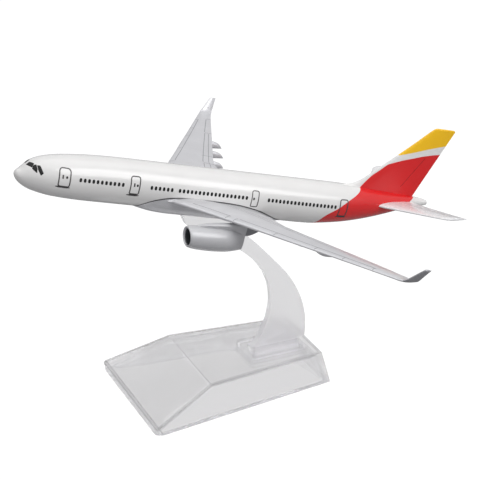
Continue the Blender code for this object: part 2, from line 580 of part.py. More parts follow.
settle("base_shell", base_frame, frame_at((0, 0, 0), False), CLEAR, 0.06, 0.0, 0.95)
settle("stand_arm", arm_frame, frame_at(((TENON_X0 + TENON_X1) / 2, 0, BASE_H), False), CLEAR, 0.06, 0.0, 0.95)
settle("fuselage_shell", air_frame, frame_at((0, 0, 0), True), WHITE, 0.18, 0.0)
settle("wing_casting", air_frame, frame_at((70.0, 0, SADDLE_Z), True), SILVER, 0.36, 0.4)
settle("vertical_fin", air_frame, frame_at((136.0, 0, 7.5), True), RED, 0.2, 0.0)
for side, tag in ((-1, "left"), (1, "right")):
    settle(tag + "_stabiliser", air_frame, frame_at((139.0, side * 5.0, 3.95), True), PALE, 0.24, 0.0)
    settle(tag + "_nacelle", air_frame, frame_at((52.0, side * ENG_Y, ENG_Z), True), SILVER, 0.28, 0.6)
    settle(tag + "_fan", air_frame, frame_at((FAN_X, side * ENG_Y, ENG_Z), True), BLACK, 0.38, 0.4)
    settle(tag + "_pylon", air_frame, frame_at((66.0, side * ENG_Y, -1.0), True), DARK_GREY, 0.4, 0.4)
for x, name in zip(SCREW_X, ("belly_screw_front", "belly_screw_rear")):
    settle(name, air_frame, frame_at((x, 0, -8.9), True), STEEL, 0.3, 1.0)
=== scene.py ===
"""Looks of the desk airliner model: fine surfaces, printed detail, paint, clear plastic, light and camera.

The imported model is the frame. Every piece here is made where the frame says, in metres, and rides on one of
its bodies. The aircraft's own frame is in millimetres: x aft from the nose, y to starboard, z up.
"""
import math

import bmesh
import bpy
from mathutils import Matrix, Vector
from mathutils.bvhtree import BVHTree


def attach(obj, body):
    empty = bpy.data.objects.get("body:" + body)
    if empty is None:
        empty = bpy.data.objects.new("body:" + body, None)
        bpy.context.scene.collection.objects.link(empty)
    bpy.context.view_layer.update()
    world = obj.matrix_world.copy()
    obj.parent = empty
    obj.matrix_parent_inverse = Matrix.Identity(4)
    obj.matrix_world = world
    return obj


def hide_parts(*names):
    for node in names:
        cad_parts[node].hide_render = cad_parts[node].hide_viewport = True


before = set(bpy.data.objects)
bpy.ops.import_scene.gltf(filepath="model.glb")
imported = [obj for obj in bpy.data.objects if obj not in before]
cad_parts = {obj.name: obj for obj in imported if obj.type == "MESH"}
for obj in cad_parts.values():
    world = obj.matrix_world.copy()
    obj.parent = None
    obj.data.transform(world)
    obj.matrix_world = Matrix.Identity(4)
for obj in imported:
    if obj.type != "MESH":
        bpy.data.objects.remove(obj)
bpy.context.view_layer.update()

MM = 0.001

# ------------------------------------------------------------------ placement, as the CAD model has it
PITCH = math.radians(16.1)
CP, SP = math.cos(PITCH), math.sin(PITCH)
NOSE_X, NOSE_Z, ORIGIN_X = -70.7, 93.55, 10.15


def air(p):
    """Aircraft frame in millimetres to row frame in metres."""
    x, y, z = p
    return Vector(((x * CP + z * SP + NOSE_X - ORIGIN_X) * MM, y * MM, (-x * SP + z * CP + NOSE_Z) * MM))


def air_dir(d):
    return Vector((d[0] * CP + d[2] * SP, d[1], -d[0] * SP + d[2] * CP))


def stand(p):
    """Base-centred millimetres to row frame in metres."""
    return Vector(((p[0] - ORIGIN_X) * MM, p[1] * MM, p[2] * MM))


# ------------------------------------------------------------------ shapes, as the CAD model has them
R = 7.62
FUSELAGE = [
    (0.05, -0.85, -1.35, 0.28), (0.30, -0.25, -2.05, 0.95), (0.80, 0.25, -2.80, 1.60),
    (1.50, 0.75, -3.55, 2.30), (2.60, 1.80, -4.35, 3.15), (4.10, 3.25, -5.15, 4.10),
    (5.40, 4.10, -5.65, 4.80), (6.90, 4.80, -6.05, 5.45), (9.00, 5.45, -6.50, 6.15),
    (11.8, 6.05, -6.95, 6.78), (14.8, 6.50, -7.22, 7.13), (18.5, 6.88, -7.44, 7.38),
    (23.0, 7.22, -7.58, 7.55), (28.0, 7.46, -R, 7.61), (34.0, 7.60, -R, R), (42.6, R, -R, R),
    (55.0, R, -R, R), (70.0, R, -R, R), (85.0, R, -R, R), (98.0, R, -R, R),
    (105.0, R, -R, R), (109.4, R, -7.48, 7.58), (113.0, R, -7.12, 7.46), (117.5, 7.60, -6.55, 7.24),
    (122.4, 7.50, -5.76, 6.86), (128.0, 7.32, -4.55, 6.20), (133.7, 7.06, -3.06, 5.32),
    (139.0, 6.76, -1.45, 4.36), (143.9, 6.42, 0.15, 3.42), (148.5, 6.05, 1.45, 2.58),
    (152.5, 5.66, 2.45, 1.86), (155.2, 5.28, 3.10, 1.28), (156.1, 5.05, 3.35, 1.00)]
SEAM = [(42.4, -7.10), (43.1, -6.35), (43.9, -5.45), (45.4, -4.30), (47.1, -3.40), (49.0, -2.70), (51.3, -2.05), (54.5, -1.58),
        (58.5, -1.38), (63.0, -1.36), (68.2, -1.40), (74.2, -1.55), (80.4, -2.15), (87.0, -3.45),
        (91.0, -4.85), (94.0, -6.05), (96.4, -6.90), (97.3, -7.20)]
KEEL = [(42.4, 7.66), (44.5, 8.10), (48.0, 8.70), (53.0, 9.10), (60.0, 9.14), (85.0, 9.12), (92.0, 8.70), (97.3, 7.75)]
BELLY_FLAT = 8.95
SCREW_X = (57.0, 84.0)
PEG_X0, PEG_X1 = 65.0, 73.6
WING = [
    (4.6, 51.2, 86.3, -3.05, -4.25, 4.0), (7.7, 53.1, 86.0, -2.75, -3.65, 3.6),
    (12.0, 55.9, 85.7, -2.15, -2.75, 3.1), (18.0, 59.9, 85.2, -1.45, -1.60, 2.7),
    (24.0, 63.8, 84.7, -0.85, -0.65, 2.35), (29.0, 67.0, 84.3, -0.35, 0.10, 2.05),
    (37.0, 72.3, 87.4, 0.40, 0.85, 1.75), (46.0, 78.1, 91.0, 1.20, 1.70, 1.5),
    (56.0, 84.7, 95.0, 2.10, 2.62, 1.3), (66.0, 91.2, 99.0, 3.00, 3.50, 1.1),
    (74.0, 96.4, 102.3, 3.68, 4.05, 0.95), (77.4, 98.6, 103.9, 3.98, 4.32, 0.9)]
WINGLET = [(78.7, 4.30, 99.5, 104.6, 0.88, 22), (79.6, 5.05, 100.3, 105.0, 0.86, 46),
           (80.5, 6.70, 101.75, 105.5, 0.82, 62), (81.35, 8.30, 103.0, 106.0, 0.76, 64),
           (82.05, 9.60, 104.1, 106.45, 0.70, 64)]
FLAP_FAIRINGS = [(32.2, 82.8, -2.6, 90.2, -2.05), (41.4, 86.2, -1.7, 94.2, -1.2), (50.5, 89.6, -0.85, 97.4, -0.4)]
FIN_LE = [(5.0, 119.6), (7.55, 119.6), (8.0, 122.4), (8.9, 125.0), (10.2, 127.1), (12.1, 129.4),
          (16.2, 134.0), (20.5, 138.9), (26.0, 144.9), (31.0, 150.2), (31.7, 151.2), (31.9, 151.9)]
FIN_TE_X0, FIN_TE_Z0, FIN_TE_SLOPE = 149.95, 6.6, 0.390
FIN_T0, FIN_T1 = 1.9, 0.9
STAB = [(1.0, 130.9, 147.2, 1.65, 4.2, 1.9), (3.0, 132.3, 147.9, 2.10, 4.5, 1.8),
        (9.0, 136.2, 150.0, 3.40, 5.4, 1.5), (16.0, 140.9, 152.5, 5.00, 6.5, 1.2),
        (22.0, 144.9, 154.6, 6.35, 7.5, 1.0), (24.6, 146.7, 155.6, 6.95, 7.95, 0.9),
        (25.6, 148.0, 156.0, 7.20, 8.1, 0.8), (26.1, 150.2, 156.3, 7.50, 8.2, 0.7)]
ENG_Y, ENG_Z = 25.7, -7.6
COWL = [(52.00, 3.12), (52.10, 3.28), (52.45, 3.44), (53.4, 3.62), (55.5, 3.84), (58.5, 3.98),
        (62.0, 4.00), (65.0, 3.90), (67.6, 3.68), (69.8, 3.32), (71.4, 3.00), (72.4, 2.80)]
COWL_SIDE = [(62.0, 4.00), (65.0, 3.72), (67.6, 3.08), (69.8, 2.20), (71.4, 1.32), (72.4, 0.75)]
INTAKE = [(57.6, 2.98), (55.5, 2.97), (54.3, 2.86), (53.3, 2.74), (52.6, 2.70), (52.14, 2.82)]
INTAKE_LEAN = 0.16
FAN_X, FAN_R = 56.6, 2.86
PYLON_FRONT = [(54.2, -4.3, -4.1, 0.15, 0.15), (55.9, -4.3, -3.25, 0.45, 0.60), (58.0, -4.3, -2.75, 0.50, 0.95),
               (60.1, -4.3, -2.40, 0.52, 1.20), (63.0, -4.3, -2.12, 0.55, 1.38), (66.0, -4.4, -1.90, 0.60, 1.38),
               (69.0, -5.2, -1.50, 0.70, 1.15), (71.0, -5.9, -0.90, 0.74, 0.95), (72.4, -6.4, -0.60, 0.75, 0.85)]
PYLON_REAR = [(72.0, -5.5, -0.2, 0.5, 0.5), (73.6, -5.45, -0.2, 0.5, 0.5), (75.4, -4.75, -0.2, 0.5, 0.5), (77.6, -3.35, -0.2, 0.48, 0.48),
              (80.2, -2.1, -0.2, 0.42, 0.42), (82.0, -1.5, -0.3, 0.3, 0.3)]


# ------------------------------------------------------------------ small helpers
def lerp(table, x, col=1):
    if x <= table[0][0]:
        return table[0][col]
    for a, b in zip(table, table[1:]):
        if x <= b[0]:
            t = (x - a[0]) / (b[0] - a[0])
            return a[col] + (b[col] - a[col]) * t
    return table[-1][col]


def catmull(points, per):
    """Smooth curve through points of any dimension (centripetal Catmull-Rom), per steps to a span."""
    pts = [list(p) for p in points]
    first = [2 * a - b for a, b in zip(pts[0], pts[1])]
    last = [2 * a - b for a, b in zip(pts[-1], pts[-2])]
    pts = [first] + pts + [last]

    def gap(a, b):
        return max(math.sqrt(math.sqrt(sum((u - v) ** 2 for u, v in zip(a, b)))), 1e-6)

    out = []
    for i in range(1, len(pts) - 2):
        p0, p1, p2, p3 = pts[i - 1:i + 3]
        t0, t1 = 0.0, gap(p0, p1)
        t2 = t1 + gap(p1, p2)
        t3 = t2 + gap(p2, p3)
        for k in range(per):
            t = t1 + (t2 - t1) * k / per
            q = []
            for a, b, c, d in zip(p0, p1, p2, p3):
                a1 = (t1 - t) / (t1 - t0) * a + (t - t0) / (t1 - t0) * b
                a2 = (t2 - t) / (t2 - t1) * b + (t - t1) / (t2 - t1) * c
                a3 = (t3 - t) / (t3 - t2) * c + (t - t2) / (t3 - t2) * d
                b1 = (t2 - t) / (t2 - t0) * a1 + (t - t0) / (t2 - t0) * a2
                b2 = (t3 - t) / (t3 - t1) * a2 + (t - t1) / (t3 - t1) * a3
                q.append((t2 - t) / (t2 - t1) * b1 + (t - t1) / (t2 - t1) * b2)
            out.append(tuple(q))
    out.append(tuple(pts[-2]))
    return out


def to_object(bm, name, sharp=35.0):
    bmesh.ops.recalc_face_normals(bm, faces=bm.faces)
    me = bpy.data.meshes.new(name)
    bm.to_mesh(me)
    bm.free()
    ob = bpy.data.objects.new(name, me)
    bpy.context.scene.collection.objects.link(ob)
    me.shade_smooth()
    me.set_sharp_from_angle(angle=math.radians(sharp))
    return ob


def grid_faces(bm, rows, close_u=True, close_v=False, ends=None):
    """Quads between rows of points. ends is "fan" to close the first and last row with a fan."""
    rows = [[bm.verts.new(p) for p in row] for row in rows]
    n, m = len(rows[0]), len(rows)
    for j in range(m if close_v else m - 1):
        a, b = rows[j], rows[(j + 1) % m]
        for i in range(n if close_u else n - 1):
            quad = [a[i], a[(i + 1) % n], b[(i + 1) % n], b[i]]
            bm.faces.new(quad)
    if ends:
        for row in (rows[0], rows[-1]):
            c = bm.verts.new(sum((v.co for v in row), Vector()) / n)
            for i in range(n):
                bm.faces.new((row[i], row[(i + 1) % n], c))
    return rows


def loft(name, rows, sharp=35.0, ends="fan"):
    bm = bmesh.new()
    grid_faces(bm, rows, ends=ends)
    return to_object(bm, name, sharp)


def combine(target, tool, op, sharp=35.0):
    mod = target.modifiers.new("cut", "BOOLEAN")
    mod.solver = "EXACT"
    mod.operation = op
    mod.object = tool
    bpy.context.view_layer.update()
    graph = bpy.context.evaluated_depsgraph_get()
    me = bpy.data.meshes.new_from_object(target.evaluated_get(graph))
    target.modifiers.clear()
    old = target.data
    target.data = me
    bpy.data.meshes.remove(old)
    tool_mesh = tool.data
    bpy.data.objects.remove(tool, do_unlink=True)
    bpy.data.meshes.remove(tool_mesh)
    me.shade_smooth()
    me.set_sharp_from_angle(angle=math.radians(sharp))


def prism(name, outline, y0, y1, place, sharp=35.0):
    bm = bmesh.new()
    a = [bm.verts.new(place((x, y0, z))) for x, z in outline]
    b = [bm.verts.new(place((x, y1, z))) for x, z in outline]
    n = len(outline)
    for i in range(n):
        bm.faces.new((a[i], a[(i + 1) % n], b[(i + 1) % n], b[i]))
    bm.faces.new(a)
    bm.faces.new(b)
    bm.normal_update()
    return to_object(bm, name, sharp)


def box(name, x0, x1, y0, y1, z0, z1, place):
    return prism(name, [(x0, z0), (x1, z0), (x1, z1), (x0, z1)], y0, y1, place)


def join_objects(name, objs):
    """One mesh from several, material slots kept by name."""
    bm = bmesh.new()
    mats = []
    for o in objs:
        tmp = bmesh.new()
        tmp.from_mesh(o.data)
        remap = {}
        for i, m in enumerate(o.data.materials):
            if m not in mats:
                mats.append(m)
            remap[i] = mats.index(m)
        me = bpy.data.meshes.new("tmp")
        for f in tmp.faces:
            f.material_index = remap.get(f.material_index, 0)
        tmp.to_mesh(me)
        tmp.free()
        bm.from_mesh(me)
        bpy.data.meshes.remove(me)
    me = bpy.data.meshes.new(name)
    bm.to_mesh(me)
    bm.free()
    for m in mats:
        me.materials.append(m)
    ob = bpy.data.objects.new(name, me)
    bpy.context.scene.collection.objects.link(ob)
    for o in objs:
        old = o.data
        bpy.data.objects.remove(o, do_unlink=True)
        bpy.data.meshes.remove(old)
    return ob


def set_materials(ob, *mats):
    kept = [min(p.material_index, len(mats) - 1) for p in ob.data.polygons]
    ob.data.materials.clear()
    for m in mats:
        ob.data.materials.append(m)
    ob.data.polygons.foreach_set("material_index", kept)


def piece(ob, body, slot, *nodes):
    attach(ob, body)
    if nodes:
        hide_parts(*nodes)
    return ob


# ------------------------------------------------------------------ node helpers
class Nodes:
    def __init__(self, name):
        self.mat = bpy.data.materials.new(name)
        self.mat.use_nodes = True
        self.nt = self.mat.node_tree
        self.nt.nodes.clear()
        self.out = self.nt.nodes.new("ShaderNodeOutputMaterial")
        self.bsdf = self.nt.nodes.new("ShaderNodeBsdfPrincipled")
        self.link(self.bsdf.outputs[0], self.out.inputs["Surface"])
        self.coord = self.nt.nodes.new("ShaderNodeTexCoord")
        self.pos = self.coord.outputs["Object"]

    def link(self, a, b):
        self.nt.links.new(a, b)

    def put(self, sock, value):
        if hasattr(value, "links") or isinstance(value, bpy.types.NodeSocket):
            self.link(value, sock)
        else:
            sock.default_value = value

    def math(self, op, a, b=0.0, c=0.0, clamp=False):
        n = self.nt.nodes.new("ShaderNodeMath")
        n.operation = op
        n.use_clamp = clamp
        self.put(n.inputs[0], a)
        self.put(n.inputs[1], b)
        if op in ("MULTIPLY_ADD", "SMOOTH_MIN", "SMOOTH_MAX"):
            self.put(n.inputs[2], c)
        return n.outputs[0]

    def step(self, value, edge, soft):
        """0 below edge, 1 above it, with a soft change."""
        n = self.nt.nodes.new("ShaderNodeMapRange")
        n.interpolation_type = "SMOOTHSTEP"
        self.put(n.inputs["Value"], self.math("SUBTRACT", value, edge))
        n.inputs["From Min"].default_value = -soft
        n.inputs["From Max"].default_value = soft
        return n.outputs[0]

    def noise(self, scale, detail=3.0, rough=0.5, vec=None):
        n = self.nt.nodes.new("ShaderNodeTexNoise")
        self.put(n.inputs["Vector"], vec if vec is not None else self.pos)
        n.inputs["Scale"].default_value = scale
        n.inputs["Detail"].default_value = detail
        n.inputs["Roughness"].default_value = rough
        return n.outputs["Fac"]

    def voronoi(self, scale):
        n = self.nt.nodes.new("ShaderNodeTexVoronoi")
        self.put(n.inputs["Vector"], self.pos)
        n.inputs["Scale"].default_value = scale
        return n

    def mapr(self, value, a, b, lo, hi):
        n = self.nt.nodes.new("ShaderNodeMapRange")
        self.put(n.inputs["Value"], value)
        n.inputs["From Min"].default_value = a
        n.inputs["From Max"].default_value = b
        n.inputs["To Min"].default_value = lo
        n.inputs["To Max"].default_value = hi
        return n.outputs[0]

    def mix(self, fac, a, b):
        n = self.nt.nodes.new("ShaderNodeMix")
        n.data_type = "RGBA"
        self.put(n.inputs[0], fac)
        self.put(n.inputs[6], a)
        self.put(n.inputs[7], b)
        return n.outputs[2]

    def tint(self, color, fac):
        """Colour multiplied by a value."""
        n = self.nt.nodes.new("ShaderNodeVectorMath")
        n.operation = "SCALE"
        self.put(n.inputs[0], color[:3] if isinstance(color, tuple) else color)
        self.put(n.inputs["Scale"], fac)
        return n.outputs[0]

    def bump(self, height, strength, distance):
        n = self.nt.nodes.new("ShaderNodeBump")
        n.inputs["Strength"].default_value = strength
        n.inputs["Distance"].default_value = distance
        self.put(n.inputs["Height"], height)
        self.link(n.outputs[0], self.bsdf.inputs["Normal"])
        return n

    def curve(self, value, points, lo, hi, out_lo, out_hi):
        """Value through a smooth curve given as (x, y) points."""
        n = self.nt.nodes.new("ShaderNodeFloatCurve")
        c = n.mapping.curves[0]
        pts = [((x - lo) / (hi - lo), (y - out_lo) / (out_hi - out_lo)) for x, y in points]
        c.points[0].location = pts[0]
        c.points[1].location = pts[-1]
        for p in pts[1:-1]:
            c.points.new(*p)
        n.mapping.update()
        self.put(n.inputs["Value"], self.mapr(value, lo, hi, 0.0, 1.0))
        return self.mapr(n.outputs[0], 0.0, 1.0, out_lo, out_hi)

    def aircraft_xyz(self):
        """Aircraft frame in millimetres from the object's own coordinates."""
        out = []
        for vec, off in (((CP / MM, 0, -SP / MM), (-NOSE_X + ORIGIN_X) * CP + NOSE_Z * SP),
                         ((0, 1 / MM, 0), 0.0),
                         ((SP / MM, 0, CP / MM), (-NOSE_X + ORIGIN_X) * SP - NOSE_Z * CP)):
            n = self.nt.nodes.new("ShaderNodeVectorMath")
            n.operation = "DOT_PRODUCT"
            self.link(self.pos, n.inputs[0])
            n.inputs[1].default_value = vec
            out.append(self.math("ADD", n.outputs["Value"], off))
        return out

    def set(self, **kw):
        for k, v in kw.items():
            self.put(self.bsdf.inputs[k.replace("_", " ")], v)


def srgb(r, g, b):
    def f(c):
        c /= 255.0
        return c / 12.92 if c <= 0.04045 else ((c + 0.055) / 1.055) ** 2.4
    return (f(r), f(g), f(b), 1.0)


WHITE = srgb(233, 232, 231)
RED = srgb(222, 24, 28)
YELLOW = srgb(252, 198, 6)
SILVER = srgb(218, 218, 221)
PALE = srgb(236, 236, 238)

# red on the rear body begins along this line, side view: z, x
RED_EDGE = [(-8.0, 108.0), (-7.6, 108.5), (-6.3, 110.0), (-2.3, 112.4), (0.7, 116.4), (3.8, 120.7), (5.7, 124.1), (7.3, 126.7),
            (9.0, 128.2)]
# top of the red on the fin, side view: x, z
FIN_RED_TOP = [(126.7, 7.3), (130.3, 11.8), (134.4, 15.9), (139.5, 18.3), (145.5, 20.2), (150.8, 21.6), (157.0, 22.6)]
FIN_GOLD_LOW = [(139.3, 20.5), (145.0, 22.3), (151.0, 24.2), (158.0, 26.0)]


def gloss_paint(name, colour_of, rough=0.16, coat=0.6, coat_rough=0.2):
    """Enamel over die-cast metal: faint orange peel, faint mottling, clear gloss."""
    m = Nodes(name)
    base = colour_of(m)
    mottle = m.mapr(m.noise(120.0, 3.0), 0.3, 0.7, 0.985, 1.01)
    m.set(Base_Color=m.tint(base, mottle), Roughness=m.mapr(m.noise(500.0, 3.0), 0.3, 0.7, rough, rough + 0.05))
    m.set(Coat_Weight=coat, Coat_Roughness=coat_rough)
    m.bsdf.inputs["IOR"].default_value = 1.5
    m.bump(m.noise(300.0, 2.0), 0.05, 0.00002)
    return m


def body_colour(m):
    x, y, z = m.aircraft_xyz()
    edge = m.curve(z, RED_EDGE, -8.0, 9.0, 105.0, 130.0)
    red = m.step(x, edge, 0.10)
    rear = m.curve(z, [(0.0, 146.6), (3.6, 146.9), (4.35, 147.5), (5.9, 149.9), (6.6, 151.0)], 0.0, 6.6, 140.0, 155.0)
    tail = m.math("SUBTRACT", 1.0, m.step(x, rear, 0.10))
    return m.mix(m.math("MULTIPLY", red, tail), WHITE, RED)


def fin_colour(m):
    x, y, z = m.aircraft_xyz()
    top = m.curve(x, FIN_RED_TOP, 126.7, 157.0, 7.3, 22.6)
    red = m.math("SUBTRACT", 1.0, m.step(z, top, 0.10))
    gold = m.step(z, m.curve(x, FIN_GOLD_LOW, 139.3, 158.0, 20.5, 26.0), 0.10)
    # a white edge runs along the leading edge below the gold
    le = m.curve(z, [(8.0, 123.6), (12.1, 130.4), (16.2, 135.1), (20.5, 139.9), (26.0, 145.9)], 8.0, 26.0, 120.0, 147.0)
    red = m.math("MULTIPLY", red, m.step(x, le, 0.10))
    col = m.mix(red, WHITE, RED)
    return m.mix(gold, col, YELLOW)


MAT = {}
MAT["body"] = gloss_paint("body_paint", body_colour).mat
MAT["fin"] = gloss_paint("fin_paint", fin_colour, 0.34, 0.25, 0.3).mat
MAT["pale"] = gloss_paint("pale_grey_paint", lambda m: PALE, 0.24).mat


def silver_paint(name, colour, rough, metal=0.42, flake=0.03, coat=0.0):
    m = Nodes(name)
    v = m.voronoi(5200.0)
    sparkle = m.mapr(v.outputs["Distance"], 0.0, 0.6, 1.0 - flake, 1.0 + flake)
    cloud = m.mapr(m.noise(120.0, 3.0), 0.3, 0.7, 0.96, 1.03)
    m.set(Base_Color=m.tint(colour, m.math("MULTIPLY", sparkle, cloud)), Metallic=metal)
    m.set(Roughness=m.mapr(m.noise(700.0, 3.0), 0.3, 0.7, rough - 0.04, rough + 0.05))
    m.set(Coat_Weight=coat, Coat_Roughness=0.12)
    m.bump(m.noise(500.0, 2.0), 0.04, 0.00002)
    return m.mat


MAT["silver"] = silver_paint("silver_paint", SILVER, 0.36)
MAT["cowl"] = silver_paint("cowl_paint", srgb(196, 196, 199), 0.40, 0.12, 0.02, 0.7)
# bright bare metal for the intake lip; on the nacelle's tail rim the same bright metal is a painted highlight
MAT["lip"] = silver_paint("bare_lip_and_tail_rim_highlight", srgb(226, 226, 230), 0.24, 0.6, 0.02)
# darker grey for the pylon's aft part under the wing: painted shade
MAT["pylon"] = silver_paint("pylon_rear_painted_shade", srgb(142, 142, 146), 0.4, 0.4)
# darker grey for the winglets' outboard faces: painted shade
MAT["winglet"] = silver_paint("winglet_outboard_painted_shade", srgb(158, 158, 162), 0.36)
MAT["nozzle"] = silver_paint("nozzle_paint", srgb(118, 118, 122), 0.36, 0.7)


def plain(name, colour, rough, metal=0.0, grain=1800.0, depth=0.12, spread=0.05):
    m = Nodes(name)
    m.set(Base_Color=m.tint(colour, m.mapr(m.noise(grain * 0.3, 3.0), 0.3, 0.7, 1 - spread, 1 + spread)), Metallic=metal)
    m.set(Roughness=m.mapr(m.noise(grain, 3.0), 0.3, 0.7, rough - 0.05, rough + 0.06))
    m.bump(m.noise(grain, 3.0), depth, 0.00003)
    return m.mat


MAT["glazing"] = plain("printed_black", srgb(8, 8, 10), 0.5)
MAT["line"] = plain("engraved_line", srgb(156, 156, 160), 0.5)
MAT["door_line"] = plain("printed_grey", srgb(66, 63, 64), 0.4)
MAT["seam"] = plain("seam_shadow", srgb(70, 70, 73), 0.6)
MAT["fan"] = plain("fan_blades", srgb(92, 95, 100), 0.36, 0.5)
MAT["spinner"] = plain("spinner_paint", srgb(120, 122, 126), 0.32, 0.4)
MAT["duct"] = plain("duct_dark", srgb(88, 92, 96), 0.42, 0.3)
MAT["steel"] = plain("screw_steel", srgb(176, 176, 178), 0.3, 1.0, 2600.0, 0.2)


def clear_plastic(name, share, tint, body=0.957, rough=0.0):
    """Moulded clear styrene: glass shader with faint flow lines. Lamps shine through it. share is the part that passes
    straight through, as in a thin wall that hardly bends it, and tint is what that part keeps."""
    m = Nodes(name)
    m.set(Base_Color=(body, body - 0.003, body + 0.006, 1.0), Roughness=m.mapr(m.noise(500.0, 3.0), 0.35, 0.7, rough, rough + 0.03))
    m.bsdf.inputs["Transmission Weight"].default_value = 1.0
    m.bsdf.inputs["IOR"].default_value = 1.47
    m.bump(m.noise(90.0, 2.0), 0.03, 0.0002)
    straight = m.nt.nodes.new("ShaderNodeBsdfTransparent")
    straight.inputs[0].default_value = (tint, tint - 0.003, tint + 0.006, 1.0)
    soft = m.nt.nodes.new("ShaderNodeMixShader")
    soft.inputs[0].default_value = share
    m.link(m.bsdf.outputs[0], soft.inputs[1])
    m.link(straight.outputs[0], soft.inputs[2])
    path = m.nt.nodes.new("ShaderNodeLightPath")
    through = m.nt.nodes.new("ShaderNodeBsdfTransparent")
    through.inputs[0].default_value = (0.93, 0.93, 0.935, 1.0)
    mixer = m.nt.nodes.new("ShaderNodeMixShader")
    m.link(path.outputs["Is Shadow Ray"], mixer.inputs[0])
    m.link(soft.outputs[0], mixer.inputs[1])
    m.link(through.outputs[0], mixer.inputs[2])
    m.link(mixer.outputs[0], m.out.inputs["Surface"])
    return m.mat


MAT["clear"] = clear_plastic("clear_plastic", 0.5, 0.95)
# darker clear for the base's rounded edges: painted shade
MAT["clear_edge_shade"] = clear_plastic("clear_plastic_edge_painted_shade", 0.7, 0.60, 0.70)
# darker clear for the band over the base's walls: painted shade
MAT["clear_wall_shade"] = clear_plastic("clear_plastic_wall_painted_shade", 0.6, 0.74, 0.84)
# brighter clear for the base's front lip, a strip low on its sides and the roof's fold: painted highlight
MAT["clear_lip_highlight"] = clear_plastic("clear_plastic_lip_painted_highlight", 0.85, 0.998, 0.98)
CLEARS = [MAT[k] for k in ("clear", "clear_edge_shade", "clear_wall_shade", "clear_lip_highlight")]
MAT["clear_arm"] = clear_plastic("clear_plastic_arm", 0.45, 0.955, 0.957, 0.3)

# ------------------------------------------------------------------ fuselage
STATIONS = catmull(FUSELAGE, 7)
SEG = 128


def skin_ring(st, grow=0.0, seg=SEG):
    x, t, b, w = st
    zc, rz, ry = (t + b) / 2, (t - b) / 2 + grow, w + grow
    return [air((x, ry * math.sin(2 * math.pi * i / seg), zc + rz * math.cos(2 * math.pi * i / seg))) for i in range(seg)]


tip = FUSELAGE[0]
nose_rings = [skin_ring((0.0, -1.05, -1.15, 0.05)), skin_ring((0.015, -0.95, -1.25, 0.16))]
last = FUSELAGE[-1]
tail_rings = []
for k in (20, 40, 60, 78, 88):
    a = math.radians(k)
    c = (last[1] + last[2]) / 2
    h = (last[1] - last[2]) / 2
    tail_rings.append(skin_ring((last[0] + 0.16 * math.sin(a), c + h * (0.82 + 0.18 * math.cos(a)), c - h * (0.82 + 0.18 * math.cos(a)),
                                 last[3] * (0.82 + 0.18 * math.cos(a)))))
body = loft("fuselage_skin", nose_rings + [skin_ring(s) for s in STATIONS] + tail_rings, 40)

bm = bmesh.new()
bm.from_mesh(body.data)
SKIN = BVHTree.FromBMesh(bm)
bm.free()

belly_line = [(x, z + 0.12) for x, z in SEAM]
notch = prism("notch", [(SEAM[0][0] - 0.12, -12.0), (SEAM[0][0] - 0.12, SEAM[0][1] + 0.12)] + belly_line[1:-1]
              + [(SEAM[-1][0] + 0.12, SEAM[-1][1] + 0.12), (SEAM[-1][0] + 0.12, -12.0)], -12.0, 12.0, air)
combine(body, notch, "DIFFERENCE", 40)
set_materials(body, MAT["body"])
piece(body, "aircraft", "white_paint", "fuselage_shell")


# ------------------------------------------------------------------ printed marks that follow a surface
def snap(tree, p, off):
    """Nearest point of the surface, lifted off it."""
    hit, normal, _, _ = tree.find_nearest(p)
    return hit + normal * off


def patch(bm, tree, outline, off, size):
    """A filled outline laid on a surface, in rings from its middle. size is the widest gap between rings, in metres."""
    c = sum(outline, Vector()) / len(outline)
    n = len(outline)
    count = max(1, math.ceil(max((p - c).length for p in outline) / size))
    middle = bm.verts.new(snap(tree, c, off))
    inner = None
    for k in range(1, count + 1):
        ring = [bm.verts.new(snap(tree, c.lerp(p, k / count), off)) for p in outline]
        for i in range(n):
            j = (i + 1) % n
            bm.faces.new((middle, ring[i], ring[j]) if inner is None else (inner[i], ring[i], ring[j], inner[j]))
        inner = ring


def resample(points, step, closed):
    pts = [Vector(p) for p in points]
    if closed:
        pts = pts + [pts[0]]
    out = []
    for a, b in zip(pts, pts[1:]):
        k = max(1, math.ceil((b - a).length / step))
        out += [a.lerp(b, i / k) for i in range(k)]
    if not closed:
        out.append(pts[-1])
    return out


def ribbon(bm, tree, points, width, off, closed=False, step=0.0006, taper=False):
    """A thin band along a line, laid on a surface."""
    pts = resample(points, step, closed)
    hits = []
    for p in pts:
        hit, normal, _, _ = tree.find_nearest(p)
        hits.append((hit, normal))
    n = len(hits)
    left, right = [], []
    for i in range(n):
        prev = hits[(i - 1) % n][0] if (closed or i) else hits[i][0]
        nxt = hits[(i + 1) % n][0] if (closed or i < n - 1) else hits[i][0]
        along = (nxt - prev).normalized()
        side = hits[i][1].cross(along).normalized()
        w = width / 2
        if taper:
            w *= 0.35 + 0.65 * min(1.0, min(i, n - 1 - i) / (n * 0.2))
        up = hits[i][1] * off
        left.append(bm.verts.new(hits[i][0] + side * w + up))
        right.append(bm.verts.new(hits[i][0] - side * w + up))
    for i in range(n if closed else n - 1):
        j = (i + 1) % n
        bm.faces.new((left[i], right[i], right[j], left[j]))


def side_point(x, z, side):
    """Point on the fuselage's side at that station and height."""
    t, b, w = (lerp(FUSELAGE, x, c) for c in (1, 2, 3))
    zc, rz = (t + b) / 2, (t - b) / 2
    k = max(0.0, 1 - ((z - zc) / rz) ** 2)
    return air((x, side * w * math.sqrt(k), z))


def decal(name, build, mat, slot, sharp=60):
    bm = bmesh.new()
    build(bm)
    me = bpy.data.meshes.new(name)
    bm.normal_update()
    bm.to_mesh(me)
    bm.free()
    me.shade_smooth()
    ob = bpy.data.objects.new(name, me)
    bpy.context.scene.collection.objects.link(ob)
    set_materials(ob, mat)
    return piece(ob, "aircraft", slot)


WINDOW_ROWS = [(19.84, 11), (44.81, 6), (55.04, 18), (88.62, 19)]
WINDOW_PITCH, WINDOW_Z = 1.474, 1.27


